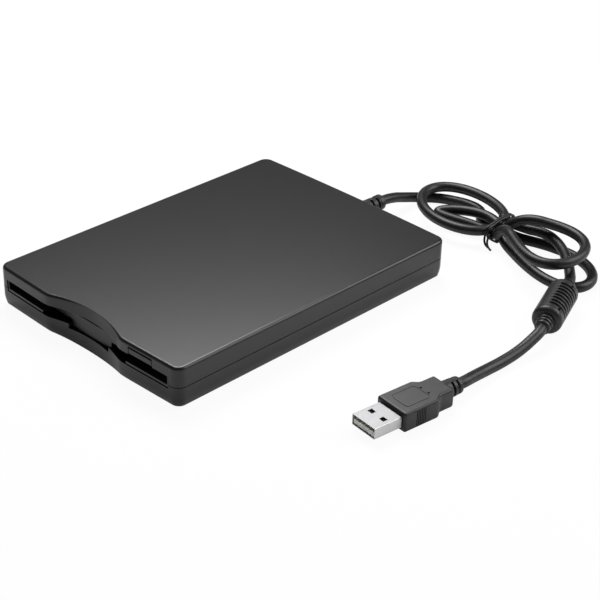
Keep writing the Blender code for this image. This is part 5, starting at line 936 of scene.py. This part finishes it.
def make_shell():
    """The plug's metal tube. Its top is painted darker than its sides, as painted shade."""
    middle = PLUG_AXIS_HEIGHT
    root = -SEAT_GAP
    low = middle - SHELL_HEIGHT / 2
    high = low + SHELL_HEIGHT
    half = SHELL_WIDTH / 2

    def sleeve(name, inset, radius, front, back):
        outline = rounded_outline(
            -half + inset, low + inset, half - inset, high - inset, radius, SHELL_CORNER_STEPS
        )
        return loft(name, [[(x, y, z) for x, z in outline] for y in (front, back)])

    shell = sleeve("plug_tube", 0.0, SHELL_ROUNDING, root - SHELL_LENGTH, root)
    cutters = [sleeve(
        "hollow", SHELL_SHEET, SHELL_INNER_ROUNDING, root - SHELL_LENGTH - OVERRUN, root - SHELL_SHEET
    )]
    for side in (-1, 1):
        x = side * SHELL_WINDOW_SPACING / 2
        y = root - SHELL_WINDOW_FROM_ROOT
        cutters.append(block(
            f"window_{side}", (x - SHELL_WINDOW_WIDTH / 2, y - SHELL_WINDOW_LENGTH, middle),
            (x + SHELL_WINDOW_WIDTH / 2, y, middle + SHELL_HEIGHT),
        ))
    combine(shell, cutters)
    soften(shell, SHELL_EDGE)
    into_plug_frame(shell)
    place_piece(shell, BRIGHT_STEEL, "bright_steel", CASE, "plug_shell")
    # Faces turned up take the darker steel copy: painted shade on the shell's top
    shell.data.materials.append(SHADED_TOP_STEEL)
    for face in shell.data.polygons:
        face.material_index = int(face.normal.z > SHADED_TOP_FACING)
    return shell


# The tie's ends: shares of their length along the waist and out of it, and of the way down to the floor
TIE_TAIL_SHARES = ((0.02, 0.16, 0.30), (0.12, 0.30, 0.58), (0.38, 0.40, 0.80), (0.75, 0.46, 0.92))
TIE_SPREAD = 0.13


def make_tie():
    """A wire wound round the waist, hugging the passes, with its ends laid out beside it."""
    offset = CABLE_DIAMETER / 2 + TIE_DIAMETER / 2 + SEAT_GAP / 3
    pitch = TIE_DIAMETER + SEAT_GAP
    points = []
    total = TIE_TURNS * TIE_TURN_STEPS
    for step in range(total + 1):
        turn = math.tau * step / TIE_TURN_STEPS + math.pi
        out_y, out_z = math.cos(turn), -math.sin(turn)
        centre = max(PASSES.values(), key=lambda held: held[0] * out_y + held[1] * out_z)
        y = centre[0] + offset * out_y
        z = centre[1] + offset * out_z
        x = pitch * TIE_TURNS * (step / total - 0.5)
        points.append((WAIST_X + x, WAIST_Y + y, z))
    tails = []
    for spot, side in ((points[0], -1), (points[-1], 1)):
        tails.append([
            (spot[0] + TIE_TAIL_LENGTH * along, spot[1] - TIE_TAIL_LENGTH * (out + side * TIE_SPREAD),
             spot[2] + (TIE_DIAMETER - spot[2]) * down)
            for along, out, down in TIE_TAIL_SHARES
        ])
    route = [Vector(point) for point in tails[0][::-1] + points + tails[1]]
    tie = curve_piece("wire_tie", route, TIE_DIAMETER, 3, 3)
    place_piece(tie, CABLE_BLACK, "cable_rubber", CASE, "hank_tie")
    return tie


make_boot()
ferrite = make_ferrite()
overmould = make_overmould()
plug_tube = make_shell()
tie = make_tie()
route = cord_route()
cable = curve_piece("cable", route, CABLE_DIAMETER)
place_piece(cable, CABLE_BLACK, "cable_rubber", CASE, "cable_lead", "cable_hank", "cable_link", "cable_tail")


# Floor, light and camera
FLOOR_HALF = 3.0
FLOOR_BELOW = 0.00005
FLOOR_WHITE = (0.85, 0.85, 0.85)
FLOOR_ROUGHNESS = 0.9
FLOOR_SEEN_SHARE = 0.94
FLOOR_MIRRORED_SHARE = 0.40
WORLD_LIGHT = 0.08
# Each lamp's place, what it points at, its size and its watts
LAMPS = {
    "key_lamp": ((-0.196, 0.160, 0.449), (0.02, 0, 0), (0.30, 0.30), 3.3),
    "side_lamp": ((0.42, 0.50, 0.46), (0.05, 0, 0), (0.55, 0.55), 4.2),
    "front_lamp": ((0.10, -0.85, 0.75), (0, 0, 0), (0.5, 0.4), 0.1),
}


def stage_material(name, colour, share, mirrored):
    """A matt floor that the camera sees mostly as plain white, keeping part of its shade."""
    made = bpy.data.materials.new(name)
    made.use_nodes = True
    tree = made.node_tree
    base = tree.nodes["Principled BSDF"]
    base.inputs["Base Color"].default_value = (*colour, 1.0)
    base.inputs["Roughness"].default_value = FLOOR_ROUGHNESS
    glow = tree.nodes.new("ShaderNodeEmission")
    glow.inputs["Strength"].default_value = 1.0
    path = tree.nodes.new("ShaderNodeLightPath")
    shares = []
    for ray, part in (("Is Camera Ray", share), ("Is Glossy Ray", mirrored)):
        node = tree.nodes.new("ShaderNodeMath")
        node.operation = "MULTIPLY"
        node.inputs[1].default_value = part
        tree.links.new(path.outputs[ray], node.inputs[0])
        shares.append(node.outputs[0])
    most = tree.nodes.new("ShaderNodeMath")
    most.operation = "MAXIMUM"
    tree.links.new(shares[0], most.inputs[0])
    tree.links.new(shares[1], most.inputs[1])
    mix = tree.nodes.new("ShaderNodeMixShader")
    tree.links.new(most.outputs[0], mix.inputs["Fac"])
    tree.links.new(base.outputs["BSDF"], mix.inputs[1])
    tree.links.new(glow.outputs["Emission"], mix.inputs[2])
    tree.links.new(mix.outputs["Shader"], tree.nodes["Material Output"].inputs["Surface"])
    return made


def seen_by_camera(tree):
    return tree.nodes.new("ShaderNodeLightPath").outputs["Is Camera Ray"]


floor_corners = [(x * FLOOR_HALF, y * FLOOR_HALF, 0) for x, y in ((-1, -1), (1, -1), (1, 1), (-1, 1))]
floor = mesh_piece("floor", floor_corners, [(0, 1, 2, 3)])
floor.location.z = -FLOOR_BELOW
floor.data.materials.append(
    stage_material("floor_white", FLOOR_WHITE, FLOOR_SEEN_SHARE, FLOOR_MIRRORED_SHARE)
)

world = bpy.data.worlds.new("studio")
world.use_nodes = True
bpy.context.scene.world = world
tree = world.node_tree
background = tree.nodes["Background"]
background.inputs["Color"].default_value = (1, 1, 1, 1)
strength = tree.nodes.new("ShaderNodeMapRange")
strength.inputs["To Min"].default_value = WORLD_LIGHT
strength.inputs["To Max"].default_value = 1.0
tree.links.new(seen_by_camera(tree), strength.inputs["Value"])
tree.links.new(strength.outputs["Result"], background.inputs["Strength"])


def soft_lamp(name, place, target, size, watts):
    lamp = bpy.data.lights.new(name, "AREA")
    lamp.shape = "RECTANGLE"
    lamp.size, lamp.size_y = size
    lamp.energy = watts
    obj = bpy.data.objects.new(name, lamp)
    bpy.context.scene.collection.objects.link(obj)
    obj.location = place
    obj.rotation_mode = "QUATERNION"
    obj.rotation_quaternion = (Vector(place) - Vector(target)).to_track_quat("Z", "Y")
    return obj


for lamp_name, lamp_values in LAMPS.items():
    soft_lamp(lamp_name, *lamp_values)

camera = bpy.data.objects.new("camera", bpy.data.cameras.new("camera"))
bpy.context.scene.collection.objects.link(camera)
camera.data.sensor_width = SENSOR
camera.data.lens = LENS
camera.data.clip_start = 0.01
camera.data.clip_end = 100.0
back = Vector((
    math.sin(AZIMUTH) * math.cos(ELEVATION), -math.cos(AZIMUTH) * math.cos(ELEVATION), math.sin(ELEVATION)
))
level = Vector((math.cos(AZIMUTH), math.sin(AZIMUTH), 0))
right = level * math.cos(ROLL) + back.cross(level) * math.sin(ROLL)
up = back.cross(right)
turn = Matrix((right, up, back)).transposed().to_4x4()
camera.matrix_world = Matrix.Translation(Vector(TARGET) + back * DISTANCE) @ turn
bpy.context.scene.camera = camera
bpy.context.scene.view_settings.view_transform = "Standard"
